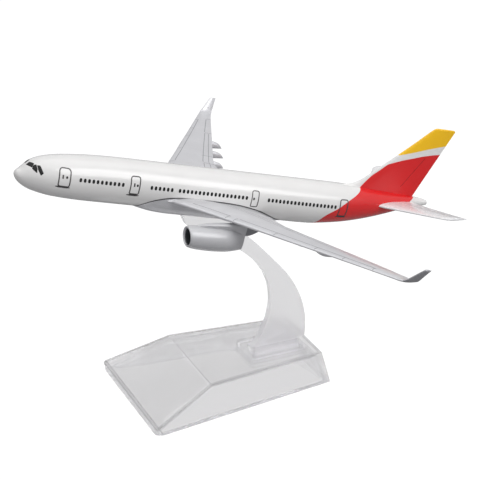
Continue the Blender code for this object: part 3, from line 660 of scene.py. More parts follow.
def windows(bm):
    for side in (-1, 1):
        for x0, count in WINDOW_ROWS:
            for k in range(count):
                x = x0 + k * WINDOW_PITCH
                ring = []
                for i in range(20):
                    a = 2 * math.pi * i / 20
                    # rounded rectangle
                    u, v = math.cos(a), math.sin(a)
                    s = (abs(u) ** 2.8 + abs(v) ** 2.8) ** (-1 / 2.8)
                    ring.append(side_point(x + 0.45 * u * s, WINDOW_Z + 0.64 * v * s, side))
                patch(bm, SKIN, ring, 0.00003, 0.0004)
        for x, z in ((15.2, 1.5), (39.7, 1.5), (82.85, 1.2)):
            ring = [side_point(x + 0.36 * math.cos(2 * math.pi * i / 14), z + 0.42 * math.sin(2 * math.pi * i / 14), side) for i in range(14)]
            patch(bm, SKIN, ring, 0.00004, 0.0004)


decal("cabin_windows", windows, MAT["glazing"], "dark_plastic")

DOORS = [(12.7, 16.4, -1.5, 4.1, 1.0), (37.3, 40.5, -1.45, 4.2, 0.7), (82.1, 84.6, -1.5, 3.8, 0.6), (117.0, 120.1, -1.9, 3.9, 0.7)]
SILLS = [(11.9, 16.8, -1.75), (36.4, 40.9, -1.9), (116.4, 120.6, -2.2)]


def door_outline(x0, x1, z0, z1, r, side):
    pts = []
    for cx, cz, a0 in ((x1 - r, z1 - r, 0), (x0 + r, z1 - r, 90), (x0 + r * 0.6, z0 + r * 0.6, 180), (x1 - r * 0.6, z0 + r * 0.6, 270)):
        rr = r if a0 < 180 else r * 0.6
        for i in range(6):
            a = math.radians(a0 + 90 * i / 5)
            pts.append(side_point(cx + rr * math.cos(a), cz + rr * math.sin(a), side))
    return pts


def doors(bm):
    for side in (-1, 1):
        for x0, x1, z0, z1, r in DOORS:
            ribbon(bm, SKIN, door_outline(x0, x1, z0, z1, r, side), 0.00040 if x0 < 80 or x0 > 100 else 0.00034, 0.00003, closed=True)
        for x0, x1, z in SILLS:
            ribbon(bm, SKIN, [side_point(x0 + (x1 - x0) * i / 8, z, side) for i in range(9)], 0.00062, 0.000035, taper=True)
        for x in (13.9, 38.6):
            ribbon(bm, SKIN, [side_point(x, 1.0, side), side_point(x, 2.15, side)], 0.0005, 0.000035)


decal("door_outlines", doors, MAT["door_line"], "dark_plastic")

# cockpit panes on the port side, corner by corner round each one
PANES = [
    [(3.24, -0.78, 2.36), (4.12, -0.70, 3.20), (5.01, -2.07, 3.38), (4.41, -2.84, 2.38)],
    [(4.57, -3.29, 2.06), (5.00, -2.70, 2.97), (5.64, -2.92, 3.26), (5.83, -3.94, 2.38), (5.77, -4.53, 1.34)],
    [(5.98, -3.35, 3.12), (6.75, -3.66, 3.22), (7.62, -5.20, 1.62), (6.95, -5.20, 0.94), (6.25, -4.44, 2.04)]]


def soft_outline(pts, r, n=4):
    """A polygon's outline with its corners rounded."""
    out = []
    m = len(pts)
    for i in range(m):
        p, a, b = pts[i], pts[i - 1], pts[(i + 1) % m]
        ra, rb = min(r, (a - p).length * 0.45), min(r, (b - p).length * 0.45)
        s, e = p + (a - p).normalized() * ra, p + (b - p).normalized() * rb
        for k in range(n + 1):
            t = k / n
            out.append(s * (1 - t) ** 2 + p * 2 * t * (1 - t) + e * t * t)
    return out


def cockpit(bm):
    for side in (-1, 1):
        for pane in PANES:
            ring = [air((x, -side * y, z)) for x, y, z in pane]
            middle = sum(ring, Vector()) / len(ring)
            ring = [middle + (p - middle) * 1.2 for p in ring]
            ring = resample(soft_outline(ring, 0.00018), 0.0003, True)
            patch(bm, SKIN, ring, 0.00004, 0.0003)


decal("cockpit_panes", cockpit, MAT["glazing"], "dark_plastic")


# ------------------------------------------------------------------ aerofoils
def section(thickness, n=22, te_t=0.3):
    """Closed symmetric aerofoil: (fraction along chord, offset) pairs, upper side first, with a blunt trailing edge."""
    pts = []
    for i in range(n + 1):
        u = 0.5 * (1 - math.cos(math.pi * i / n))
        h = 5 * (0.2969 * math.sqrt(u) - 0.1260 * u - 0.3516 * u * u + 0.2843 * u ** 3 - 0.1036 * u ** 4)
        pts.append((u, h * thickness + 0.5 * te_t * u))
    return pts + [(u, -h) for u, h in reversed(pts[1:])]


def wing_row(side, y, xl, xt, zl, zt, t):
    row = []
    for u, h in section(t):
        row.append(air((xl + (xt - xl) * u, side * y, zl + (zt - zl) * u + 0.06 * t * math.sin(math.pi * u) + h)))
    return row


def tip_row(side, y, z, xl, xt, t, cant):
    a = math.radians(cant)
    return [air((xl + (xt - xl) * u, side * (y - h * math.sin(a)), z + h * math.cos(a))) for u, h in section(t, te_t=0.25)]


def wing_table():
    """The wing's table with stations added between, and the break at the kink kept."""
    rows = []
    for a, b in zip(WING, WING[1:]):
        k = max(1, round((b[0] - a[0]) / 2.2))
        rows += [tuple(u + (v - u) * i / k for u, v in zip(a, b)) for i in range(k)]
    return rows + [WING[-1]]


def wing_top(x, y):
    """Height of the wing's upper surface."""
    xl, xt, zl, zt, t = (lerp(WING, y, c) for c in (1, 2, 3, 4, 5))
    u = min(max((x - xl) / (xt - xl), 0.0), 1.0)
    h = 5 * (0.2969 * math.sqrt(u) - 0.1260 * u - 0.3516 * u * u + 0.2843 * u ** 3 - 0.1036 * u ** 4) * t + 0.15 * u
    return zl + (zt - zl) * u + 0.06 * t * math.sin(math.pi * u) + h


def wing_bottom(x, y):
    xl, xt, zl, zt, t = (lerp(WING, y, c) for c in (1, 2, 3, 4, 5))
    u = min(max((x - xl) / (xt - xl), 0.0), 1.0)
    h = 5 * (0.2969 * math.sqrt(u) - 0.1260 * u - 0.3516 * u * u + 0.2843 * u ** 3 - 0.1036 * u ** 4) * t + 0.15 * u
    return zl + (zt - zl) * u + 0.06 * t * math.sin(math.pi * u) - h


wing_parts = []
for side in (-1, 1):
    tips = catmull([(WING[-1][0], WING[-1][3], WING[-1][1], WING[-1][2], WING[-1][5], 6)] + WINGLET, 5)
    rows = [wing_row(side, *r) for r in wing_table()[:-1]]
    rows += [tip_row(side, *r) for r in tips]
    y, z, xl, xt, t, cant = WINGLET[-1]
    for k, drop in ((0.55, 0.05), (0.2, 0.11)):
        a = math.radians(cant)
        rows.append([air((xl + 0.25 * (1 - k) + (xt - xl - 0.35 * (1 - k)) * u, side * (y + drop * math.cos(a) - h * k * math.sin(a)),
                          z + drop * math.sin(a) + h * k * math.cos(a))) for u, h in section(t, te_t=0.25)])
    panel = loft("wing_panel", rows, 50)
    for f in panel.data.polygons:                           # the winglet's outboard face is a darker grey: painted shade for a face turned away from the light
        if abs(f.center.y) > 78.9 * MM and f.normal.y * side > 0.3:
            f.material_index = 1
    set_materials(panel, MAT["silver"], MAT["winglet"])
    wing_parts.append(panel)

# belly fairing under the body, from seam to seam round the keel
tub_x = sorted(set([round(SEAM[0][0] + (SEAM[-1][0] - SEAM[0][0]) * i / 60, 3) for i in range(61)] + [s[0] for s in SEAM]))
smooth_seam = catmull(SEAM, 6)
smooth_keel = catmull(KEEL, 6)
rows = []
for x in tub_x:
    zs, keel = lerp(smooth_seam, x), lerp(smooth_keel, x)
    start = math.asin(max(-0.999, zs / R))
    sweep = math.pi + 2 * start
    n, ring = 72, []
    for i in range(n + 1):
        a = start - sweep * i / n
        s = min(min(i, n - i) / n / 0.3, 1.0)
        s = s * s * (3 - 2 * s)
        rad = R + 0.02 + (keel - R) * s
        z = rad * math.sin(a)
        if keel > BELLY_FLAT and z < -BELLY_FLAT + 0.45:
            over = -BELLY_FLAT + 0.45 - z
            z = -BELLY_FLAT + 0.45 - over / (1 + over / 0.45)
        ring.append(air((x, rad * math.cos(a), z)))
    ring += [ring[-1].lerp(ring[0], t / 8) for t in range(1, 8)]
    rows.append(ring)
tub = loft("belly_fairing", rows, 50)
hollow = box("pocket", 52.0, 90.0, -4.2, 4.2, -7.4, 4.0, air)
combine(tub, hollow, "DIFFERENCE", 50)
combine(tub, box("collar", PEG_X0 - 1.4, PEG_X1 + 1.4, -2.9, 2.9, -7.7, -4.5, air), "UNION", 50)
combine(tub, box("peg_slot", PEG_X0 - 0.2, PEG_X1 + 0.2, -1.7, 1.7, -12.0, -3.0, air), "DIFFERENCE", 50)


def disc_tool(name, x, r, z0, z1, seg=48):
    return loft(name, [[air((x + r * math.cos(2 * math.pi * i / seg), r * math.sin(2 * math.pi * i / seg), z)) for i in range(seg)]
                       for z in (z0, z1)])


for x in SCREW_X:
    combine(tub, disc_tool("bore", x, 0.85, -12.0, -5.0), "DIFFERENCE", 50)
    combine(tub, disc_tool("counterbore", x, 1.45, -12.0, -8.1), "DIFFERENCE", 50)
wing_parts.append(tub)

# fillet from the seam down onto the wing's upper surface, and one below
for side in (-1, 1):
    for upper in (True, False):
        rows = []
        for k in range(49):
            x = 51.6 + (86.6 - 51.6) * k / 48
            zs = lerp(smooth_seam, x)
            y0 = math.sqrt(max(R * R - zs * zs, 0.0))
            fade = min(1.0, (x - 51.6) / 6.0, (86.6 - x) / 3.0)
            reach = 0.15 + (2.6 if upper else 1.8) * max(fade, 0.0)
            y1 = y0 + reach
            surf = wing_top if upper else wing_bottom
            z1 = surf(x, y1)
            dz = (surf(x, y1 + 0.3) - surf(x, y1)) / 0.3
            if upper:
                start = (y0, min(zs, surf(x, y0) + 0.2 + 0.9 * fade))
                lean = (0.25 * reach, -0.5 * abs(start[1] - z1))
            else:
                kz = z1 - 0.25 - 1.1 * max(fade, 0.0)
                start = (math.sqrt(max((R + 0.35) ** 2 - kz * kz, 0.1)), kz)
                lean = (0.3 * reach, 0.5 * abs(start[1] - z1))
            p0, p3 = start, (y1, z1)
            p1 = (p0[0] + lean[0], p0[1] + lean[1])
            p2 = (p3[0] - 0.55 * reach, p3[1] - 0.55 * reach * dz)
            row = []
            for j in range(13):
                t = j / 12
                c = [(1 - t) ** 3, 3 * t * (1 - t) ** 2, 3 * t * t * (1 - t), t ** 3]
                yy = sum(w * q[0] for w, q in zip(c, (p0, p1, p2, p3)))
                zz = sum(w * q[1] for w, q in zip(c, (p0, p1, p2, p3)))
                row.append(air((x, side * yy, zz + (0.012 if upper else -0.012))))
            rows.append(row)
        bm = bmesh.new()
        grid_faces(bm, rows, close_u=False)
        fil = to_object(bm, "root_fillet", 60)
        wing_parts.append(fil)

# flap-track fairings
for side in (-1, 1):
    for y, low_x, low_z, tip_x, tip_z in FLAP_FAIRINGS:
        xl, xt = lerp(WING, y, 1), lerp(WING, y, 2)
        zl, zt = lerp(WING, y, 3), lerp(WING, y, 4)
        table = []
        for x, w, top, bottom in ((low_x - 5.6, 0.06, 0.05, 0.12), (low_x - 5.4, 0.30, 0.1, 0.25), (low_x - 4.2, 0.66, 0.1, 0.62),
                                  (low_x - 2.2, 0.92, 0.1, 0.93), (low_x, 1.0, 0.1, 1.0), (low_x + 2.4, 1.0, 0.1, 0.97),
                                  (xt + 0.3, 0.95, 0.2, None), ((xt + tip_x) / 2 + 0.3, 0.84, None, None),
                                  (tip_x - 1.2, 0.52, None, None), (tip_x - 0.25, 0.2, None, None), (tip_x, 0.08, None, None)):
            chord_z = zl + (zt - zl) * (x - xl) / (xt - xl)
            if bottom is not None:
                hi, lo = chord_z - top, chord_z - (chord_z - low_z) * bottom
            else:
                t = max(0.0, (x - xt) / (tip_x - xt))
                hi = zt - 0.12 + (tip_z + 0.14 - zt + 0.12) * t ** 2.6
                lo = low_z + 0.1 + (tip_z - 0.06 - low_z - 0.1) * t
            table.append((x, w, (hi + lo) / 2, (hi - lo) / 2))
        rows = [[air((x, side * y + w * math.cos(2 * math.pi * i / 28), zc + h * math.sin(2 * math.pi * i / 28))) for i in range(28)]
                for x, w, zc, h in catmull(table, 5)]
        wing_parts.append(loft("track_fairing", rows, 50))
for o in wing_parts[2:]:
    set_materials(o, MAT["silver"])
wing = join_objects("wing_and_belly", wing_parts)
piece(wing, "aircraft", "silver_paint", "wing_casting")
bm = bmesh.new()
bm.from_mesh(wing.data)
WING_SKIN = BVHTree.FromBMesh(bm)
bm.free()


def on_wing(y, u, side, upper=True):
    """Point on the wing at a span station and fraction of the chord."""
    xl, xt = lerp(WING, y, 1), lerp(WING, y, 2)
    x = xl + (xt - xl) * u
    return air((x, side * y, (wing_top if upper else wing_bottom)(x, y) + (0.05 if upper else -0.05)))


def wing_lines(bm):
    for side in (-1, 1):
        for upper in (True, False):
            def line(y0, u0, y1, u1, w, k=24):
                ribbon(bm, WING_SKIN, [on_wing(y0 + (y1 - y0) * i / k, u0 + (u1 - u0) * i / k, side, upper) for i in range(k + 1)],
                       w, 0.000025, step=0.0012)
            line(12.0, 0.085, 24.4, 0.118, 0.00024)
            line(27.4, 0.126, 70.0, 0.215, 0.00024)                  # slats
            line(10.2, 0.560, 27.5, 0.742, 0.00026)                  # inboard flap
            line(28.6, 0.745, 56.0, 0.715, 0.00026)                  # outboard flap
            line(57.0, 0.70, 70.5, 0.69, 0.00024)                    # aileron
            line(10.2, 0.650, 28.0, 0.885, 0.00024)                  # flap vane
            line(28.0, 0.885, 55.8, 0.865, 0.00024)
            for y in (20.0, 28.0, 34.5, 56.5, 71.0):
                line(y, 0.70 if y > 30 else 0.745, y + 0.25, 0.995, 0.00022, 8)
            for y in (24.6, 27.2, 40.0, 52.5, 61.0, 70.0):
                line(y, 0.01, y - 0.5, 0.118 + (y - 24) * 0.0021, 0.00022, 6)


decal("wing_panel_lines", wing_lines, MAT["line"], "dark_grey_paint")

# seam between the body and the wing casting
def seam(bm):
    for side in (-1, 1):
        pts = []
        for x, z in smooth_seam:
            z += 0.15
            pts.append(air((x, side * math.sqrt(max((R + 0.01) ** 2 - z * z, 0.0)), z)))
        ribbon(bm, SKIN, pts, 0.00044, 0.00006, step=0.0006)


decal("belly_seam", seam, MAT["seam"], "dark_grey_paint")


# ------------------------------------------------------------------ fin
fin_rows = []
fin_table = catmull([(z, x) for z, x in FIN_LE[1:]], 5)
for z, xl in [(4.6, 124.0), (6.0, 121.0), (7.2, 118.9)] + [q for q in fin_table]:
    xt = FIN_TE_X0 + (z - FIN_TE_Z0) * FIN_TE_SLOPE
    over = max(0.0, z - 31.35)
    xt -= 0.9 * (over / 0.55) ** 2
    t = FIN_T0 + (FIN_T1 - FIN_T0) * (z - 5.0) / 27.0
    t *= math.sqrt(max(0.0, 1 - (over / 0.58) ** 2)) if over else 1.0
    fin_rows.append([air((xl + (xt - xl) * u, h, z)) for u, h in section(t, 28)])
fin = loft("fin", fin_rows, 50)
set_materials(fin, MAT["fin"])
piece(fin, "aircraft", "red_paint", "vertical_fin")
bm = bmesh.new()
bm.from_mesh(fin.data)
FIN_SKIN = BVHTree.FromBMesh(bm)
bm.free()


def fin_lines(bm):
    for side in (-1, 1):
        def at(z, u):
            xl, xt = lerp(FIN_LE, z), FIN_TE_X0 + (z - FIN_TE_Z0) * FIN_TE_SLOPE
            return air((xl + (xt - xl) * u, side * 0.9, z))
        ribbon(bm, FIN_SKIN, [at(9.2 + (20.5 - 9.2) * i / 20, 0.70 - 0.02 * i / 20) for i in range(21)], 0.00016, 0.000025)


decal("rudder_line", fin_lines, plain("rudder_groove", srgb(146, 24, 26), 0.4), "red_paint")

# ------------------------------------------------------------------ tailplane
stab_lines = []
for side, tag in ((-1, "left"), (1, "right")):
    rows = []
    for y, xl, xt, zl, zt, t in catmull(STAB, 6):
        k = 1.0
        if y > 25.7:
            k = math.sqrt(max(0.0, 1 - ((y - 25.7) / 0.5) ** 2))
        rows.append([air((xl + (xt - xl) * u, side * y, zl + (zt - zl) * u + h * k)) for u, h in section(t, 20)])
    stab = loft(tag + "_tailplane", rows, 50)
    set_materials(stab, MAT["pale"])
    piece(stab, "aircraft", "pale_grey_paint", tag + "_stabiliser")
    bm = bmesh.new()
    bm.from_mesh(stab.data)
    stab_lines.append((side, BVHTree.FromBMesh(bm)))
    bm.free()


def elevator(bm):
    for side, tree in stab_lines:
        for up in (0.9, -0.9):
            def at(y, u):
                xl, xt, zl, zt = (lerp(STAB, y, c) for c in (1, 2, 3, 4))
                return air((xl + (xt - xl) * u, side * y, zl + (zt - zl) * u + up))
            ribbon(bm, tree, [at(4.6 + (23.6 - 4.6) * i / 20, 0.70 - 0.03 * i / 20) for i in range(21)], 0.00014, 0.000025)
            ribbon(bm, tree, [at(23.6, 0.67 + 0.3 * i / 6) for i in range(7)], 0.00014, 0.000025)


decal("elevator_lines", elevator, plain("elevator_groove", srgb(168, 168, 174), 0.4), "pale_grey_paint")


# ------------------------------------------------------------------ engines
SIDE_FINE = catmull(COWL_SIDE, 6)
COWL_FINE = catmull(COWL, 6)
INTAKE_FINE = catmull(INTAKE, 4)


def cowl_ring(x, r, side, seg, bore=False, trim=0.0):
    """Section across an engine. Ahead of x = 56 it leans, top forward; the tail closes in sideways."""
    half = r if bore or x <= SIDE_FINE[0][0] else lerp(SIDE_FINE, x)
    ring = []
    for i in range(seg):
        a = 2 * math.pi * i / seg
        z = (r - trim) * math.cos(a)
        lean = -INTAKE_LEAN * z * max(0.0, min(1.0, (56.0 - x) / 4.0))
        ring.append(air((x + lean, side * ENG_Y + (half - trim) * math.sin(a), ENG_Z + z)))
    return ring


def pylon_loft(name, table, side):
    rows = []
    for x, low, top, wl, wt in catmull(table, 5):
        h = top - low
        ring = []
        for i in range(40):
            a = 2 * math.pi * i / 40
            c, sn = math.cos(a), math.sin(a)
            e = (abs(c) ** 3.6 + abs(sn) ** 3.6) ** (-1 / 3.6)
            v = 0.5 + 0.5 * sn * e
            w = wl + (wt - wl) * min(1.0, v * 1.25) ** 1.4
            ring.append(air((x, side * ENG_Y + w * c * e, low + h * v)))
        rows.append(ring)
    return loft(name, rows, 50)


for side, tag in ((-1, "left"), (1, "right")):
    seg = 96
    bm = bmesh.new()
    rows = [cowl_ring(x, r, side, seg, bore=True) for x, r in INTAKE_FINE] + [cowl_ring(x, r, side, seg) for x, r in COWL_FINE]
    rows += [cowl_ring(72.52, 2.74, side, seg, trim=0.10), cowl_ring(72.56, 2.64, side, seg, trim=0.30)]
    centre = air((57.6, side * ENG_Y, ENG_Z))
    grid_faces(bm, rows, ends="fan")
    bm.verts.index_update()
    lip0, lip1 = len(INTAKE_FINE) - 6, len(INTAKE_FINE) + 6
    for f in bm.faces:
        ring = min(v.index // seg for v in f.verts)
        f.material_index = 2 if ring < lip0 else (1 if ring < lip1 else 0)
        # the tail rim and end take the bright lip metal: painted highlight
        if ring >= len(rows) - 3:
            f.material_index = 1
    cowl = to_object(bm, tag + "_cowl", 60)
    set_materials(cowl, MAT["cowl"], MAT["lip"], MAT["duct"])
    piece(cowl, "aircraft", "silver_paint", tag + "_nacelle")

    # fan: hub, blades and a backing disc
    bm = bmesh.new()
    hub = catmull([(54.30, 0.03), (54.45, 0.25), (54.75, 0.47), (55.2, 0.72), (55.7, 0.90), (56.3, 0.98)], 4)
    grid_faces(bm, [[air((x, side * ENG_Y + r * math.sin(2 * math.pi * i / 40), ENG_Z + r * math.cos(2 * math.pi * i / 40)))
                     for i in range(40)] for x, r in hub], ends="fan")
    for f in bm.faces:
        f.material_index = 1
    blades = 22
    for k in range(blades):
        rows = []
        for j in range(7):
            r = 0.92 + (2.80 - 0.92) * j / 6
            twist = math.radians(38 + 24 * j / 6)
            sweep = 0.10 * math.sin(math.pi * j / 6) - 0.02 * j / 6
            chord = 0.62 + 0.22 * j / 6
            front, back = [], []
            for c in range(5):
                s = (c / 4 - 0.5) * chord
                th = 0.05 * (1 - (2 * c / 4 - 1) ** 2) + 0.012
                x = 55.95 + s * math.cos(twist) + 0.35 * (j / 6) * 0.3
                for row, off in ((front, -th), (back, th)):
                    ang = 2 * math.pi * k / blades + sweep + (s * math.sin(twist) + off * math.cos(twist)) / r
                    row.append(air((x + off * math.sin(twist), side * ENG_Y + r * math.sin(ang), ENG_Z + r * math.cos(ang))))
            rows.append(front + list(reversed(back)))
        grid_faces(bm, rows, ends="fan")
    start = len(bm.faces)
    disc = [(56.62, 0.9), (56.62, 2.86), (57.35, 2.86), (57.35, 0.3)]
    grid_faces(bm, [[air((x, side * ENG_Y + r * math.sin(2 * math.pi * i / 48), ENG_Z + r * math.cos(2 * math.pi * i / 48)))
                     for i in range(48)] for x, r in disc], ends="fan")
    bm.faces.ensure_lookup_table()
    for f in bm.faces[start:]:
        f.material_index = 2
    fan = to_object(bm, tag + "_fan_stage", 50)
    set_materials(fan, MAT["fan"], MAT["spinner"], MAT["duct"])
    piece(fan, "aircraft", "dark_plastic", tag + "_fan")

    front = pylon_loft("pylon_front", PYLON_FRONT, side)
    set_materials(front, MAT["cowl"])
    # the pylon's aft part takes the darker grey: painted shade
    rear = pylon_loft("pylon_rear", PYLON_REAR, side)
    set_materials(rear, MAT["pylon"])
    pylon = join_objects(tag + "_engine_pylon", [front, rear])
    piece(pylon, "aircraft", "dark_grey_paint", tag + "_pylon")

for n in ("belly_screw_front", "belly_screw_rear"):
    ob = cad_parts[n]
    for s in ob.material_slots:
        s.material = MAT["steel"]


# ------------------------------------------------------------------ stand
BASE_FRONT_X, BASE_REAR_X = -34.9, 34.9
BASE_TOP_FRONT_X, BASE_TOP_REAR_X = -11.8, 32.4
BASE_H, BASE_LIP = 11.35, 2.5
BASE_FRONT_W, BASE_REAR_W = 26.2, 16.8
BASE_TOP_FRONT_W, BASE_TOP_REAR_W = 19.6, 14.7
BASE_CORNER_R, BASE_LIP_R, BASE_WALL = 2.6, 0.9, 1.8


def wedge(name, inset, floor, bevel, band=0.0):
    """The base's outer or inner form: flat faces with small rounded edges."""
    slope = (BASE_H - BASE_LIP) / (BASE_TOP_FRONT_X - BASE_FRONT_X)
    drop = inset * math.sqrt(1 + slope * slope)
    front = BASE_FRONT_X + inset
    top = BASE_H - inset
    knee = BASE_TOP_FRONT_X + (drop - inset) / slope
    rear_top, rear_low = BASE_TOP_REAR_X - inset, BASE_REAR_X - inset

    def low_w(x):
        return BASE_FRONT_W + (BASE_REAR_W - BASE_FRONT_W) * (x - BASE_FRONT_X) / (BASE_REAR_X - BASE_FRONT_X) - inset

    def top_w(x):
        if x <= BASE_TOP_FRONT_X:
            w = BASE_FRONT_W + (BASE_TOP_FRONT_W - BASE_FRONT_W) * (x - BASE_FRONT_X) / (BASE_TOP_FRONT_X - BASE_FRONT_X)
        else:
            w = BASE_TOP_FRONT_W + (BASE_TOP_REAR_W - BASE_TOP_FRONT_W) * (x - BASE_TOP_FRONT_X) / (BASE_TOP_REAR_X - BASE_TOP_FRONT_X)
        return w - inset * 1.02

    def roof(x):
        return min(top, BASE_LIP - drop + slope * (x - BASE_FRONT_X))

    bm = bmesh.new()
    rl, rt = max(BASE_CORNER_R - inset, 0.5), max(BASE_LIP_R - inset * 0.4, 0.3)
    low, lip = [], []
    for i in range(9):
        a = math.radians(90 * i / 8)
        xl, xt = front + rl * (1 - math.sin(a)), front + rt * (1 - math.sin(a))
        low.append((xl, low_w(front + rl) - rl * (1 - math.cos(a)), floor))
        lip.append((xt, top_w(front + rt) - rt * (1 - math.cos(a)), roof(xt)))
    # grids of points up the side and along it
    def mirror(p):
        return (p[0], -p[1], p[2])
    cols = []
    for i in range(17):                                     # front arc end to below the knee
        t = i / 16
        a = low[0] if False else (front + rl + (knee - front - rl) * t, low_w(front + rl + (knee - front - rl) * t), floor)
        x = front + rt + (knee - front - rt) * t
        b = (x, top_w(x), roof(x))
        cols.append((a, b))
    for i in range(1, 17):                                  # to the rear corner
        t = i / 16
        xa = knee + (rear_low - knee) * t
        xb = knee + (rear_top - knee) * t
        cols.append(((xa, low_w(xa), floor), (xb, top_w(xb), top)))
    arc = [(low[i], lip[i]) for i in range(9)]              # i 0 is the side end of the arc, 8 the front end
    ring = list(reversed(cols)) + arc[1:]
    ring = ring + [(mirror(a), mirror(b)) for a, b in reversed(ring)]
    n = 8
    grid = []
    for a, b in ring:
        grid.append([bm.verts.new(stand(tuple(a[k] + (b[k] - a[k]) * j / n for k in range(3)))) for j in range(n + 1)])
    m = len(grid)
    for i in range(m - 1):
        for j in range(n):
            bm.faces.new((grid[i][j], grid[i + 1][j], grid[i + 1][j + 1], grid[i][j + 1]))
    for j in range(n):                                      # rear wall
        bm.faces.new((grid[m - 1][j], grid[0][j], grid[0][j + 1], grid[m - 1][j + 1]))
    bm.faces.new([g[0] for g in grid])
    half = m // 2
    knee_i = 16
    other_knee = m - 1 - knee_i
    roofs = [bm.faces.new([grid[i][n] for i in range(0, knee_i + 1)] + [grid[i][n] for i in range(other_knee, m)]),
             bm.faces.new([grid[i][n] for i in range(knee_i, other_knee + 1)])]
    bmesh.ops.recalc_face_normals(bm, faces=bm.faces)
    if band:                                                # the roof over the walls gets a darker clear band: painted shade where the eye looks down a wall's depth
        made = bmesh.ops.inset_region(bm, faces=roofs, thickness=band * MM, use_even_offset=True, use_boundary=True)
        for f in made["faces"]:
            f.material_index = 2
        # the front lip and a strip low on the sides take the brighter clear: painted highlight
        for f in bm.faces:
            z = f.calc_center_median().z / MM
            if (f.normal.x < -0.9 and z < BASE_LIP + 0.1) or (abs(f.normal.y) > 0.5 and 0.1 < z < 0.8):
                f.material_index = 3
    # rounded edges take the darker clear: painted shade
    if bevel:
        bm.edges.ensure_lookup_table()
        edges = [e for e in bm.edges if len(e.link_faces) == 2 and e.calc_face_angle(0.0) > math.radians(14)
                 and (e.verts[0].co.z > 0.001 or e.verts[1].co.z > 0.001)]
        bmesh.ops.bevel(bm, geom=edges, offset=bevel * MM, offset_type="OFFSET", segments=3, profile=0.5, affect="EDGES", clamp_overlap=True,
                         material=1)
    for f in bm.faces:                                      # the fold of the roof takes the brighter lip clear, a painted highlight, instead of the edges' painted shade
        c = f.calc_center_median() / MM
        if f.material_index == 1 and abs(c.x + ORIGIN_X - knee) < 0.5 and f.normal.z > 0.8 and abs(c.y) < top_w(knee) - 0.6:
            f.material_index = 3
    ob = to_object(bm, name, 25)
    set_materials(ob, *CLEARS)
    return ob


def rounded_box(name, x0, x1, y0, y1, z0, z1, r):
    pts = []
    for cx, cy, a0 in ((x1 - r, y1 - r, 0), (x0 + r, y1 - r, 90), (x0 + r, y0 + r, 180), (x1 - r, y0 + r, 270)):
        for i in range(7):
            a = math.radians(a0 + 90 * i / 6)
            pts.append((cx + r * math.cos(a), cy + r * math.sin(a)))
    bm = bmesh.new()
    lo = [bm.verts.new(stand((x, y, z0))) for x, y in pts]
    hi = [bm.verts.new(stand((x, y, z1))) for x, y in pts]
    n = len(pts)
    for i in range(n):
        bm.faces.new((lo[i], lo[(i + 1) % n], hi[(i + 1) % n], hi[i]))
    bm.faces.new(lo)
    bm.faces.new(hi)
    return to_object(bm, name, 25)


base = wedge("base_form", 0.0, 0.0, 0.3, 1.3)
combine(base, wedge("cavity", BASE_WALL, -1.0, 0.35), "DIFFERENCE", 25)
roof_z = BASE_H - BASE_WALL + 0.3
rim = rounded_box("rim", 8.5, 31.0, -7.3, 7.3, roof_z - 3.5, roof_z, 1.6)
combine(rim, rounded_box("rim_in", 9.6, 29.9, -6.2, 6.2, 0.0, roof_z - 0.3, 1.0), "DIFFERENCE", 25)
combine(base, rim, "UNION", 25)
combine(base, rounded_box("slot_wall", 11.1, 30.9, -2.9, 2.9, 5.0, roof_z, 0.5), "UNION", 25)
combine(base, rounded_box("slot", 12.3, 29.7, -1.7, 1.7, 2.0, BASE_H + 2, 0.12), "DIFFERENCE", 25)
base.name = "clear_base"
set_materials(base, *CLEARS)
piece(base, "base", "clear_plastic", "base_shell")

ARM_T = 3.0
ARM_SEAT_Z = BASE_H + 0.1
ARM_AFT = [(32.0, 11.45), (32.3, 15.0), (32.1, 20.15), (30.9, 25.85), (28.6, 31.65),
           (25.1, 37.65), (20.4, 43.45), (15.4, 49.2), (9.8, 55.0), (5.3, 59.5)]
ARM_FORE = [(10.9, 11.45), (12.6, 12.3), (14.2, 13.9), (15.7, 16.9), (17.5, 20.8), (18.6, 25.5),
            (18.8, 29.0), (18.5, 32.4), (17.7, 36.0), (16.0, 40.0), (13.1, 44.3), (8.6, 49.0),
            (3.2, 53.4), (-2.8, 57.4), (-8.6, 60.7)]


def side_of(p):
    q = air((p[0], 0.0, p[1]))
    return q.x / MM + ORIGIN_X, q.z / MM


aft = [q for q in catmull(ARM_AFT, 5)]
fore = [q for q in catmull(ARM_FORE, 5)]
outline = ([(12.5, 5.6), (29.5, 5.6), (29.5, ARM_SEAT_Z)] + aft
           + [side_of((77.8, -9.05)), side_of((PEG_X1, -9.05)), side_of((PEG_X1, -4.7)), side_of((PEG_X0, -4.7)),
              side_of((PEG_X0, -9.05)), side_of((61.9, -9.05)), side_of((62.2, -10.6)), side_of((63.9, -12.6))]
           + list(reversed(fore)) + [(12.5, ARM_SEAT_Z)])
bm = bmesh.new()
a = [bm.verts.new(stand((x, -ARM_T / 2, z))) for x, z in outline]
b = [bm.verts.new(stand((x, ARM_T / 2, z))) for x, z in outline]
n = len(outline)
for i in range(n):
    bm.faces.new((a[i], a[(i + 1) % n], b[(i + 1) % n], b[i]))
bm.faces.new(a)
bm.faces.new(b)
bmesh.ops.recalc_face_normals(bm, faces=bm.faces)
rims = [e for e in bm.edges if any(len(f.verts) > 8 for f in e.link_faces)]
bmesh.ops.bevel(bm, geom=rims, offset=0.22 * MM, offset_type="OFFSET", segments=3, profile=0.5, affect="EDGES", clamp_overlap=True)
arm = to_object(bm, "clear_arm", 30)
set_materials(arm, MAT["clear_arm"])
piece(arm, "arm", "clear_plastic", "stand_arm")

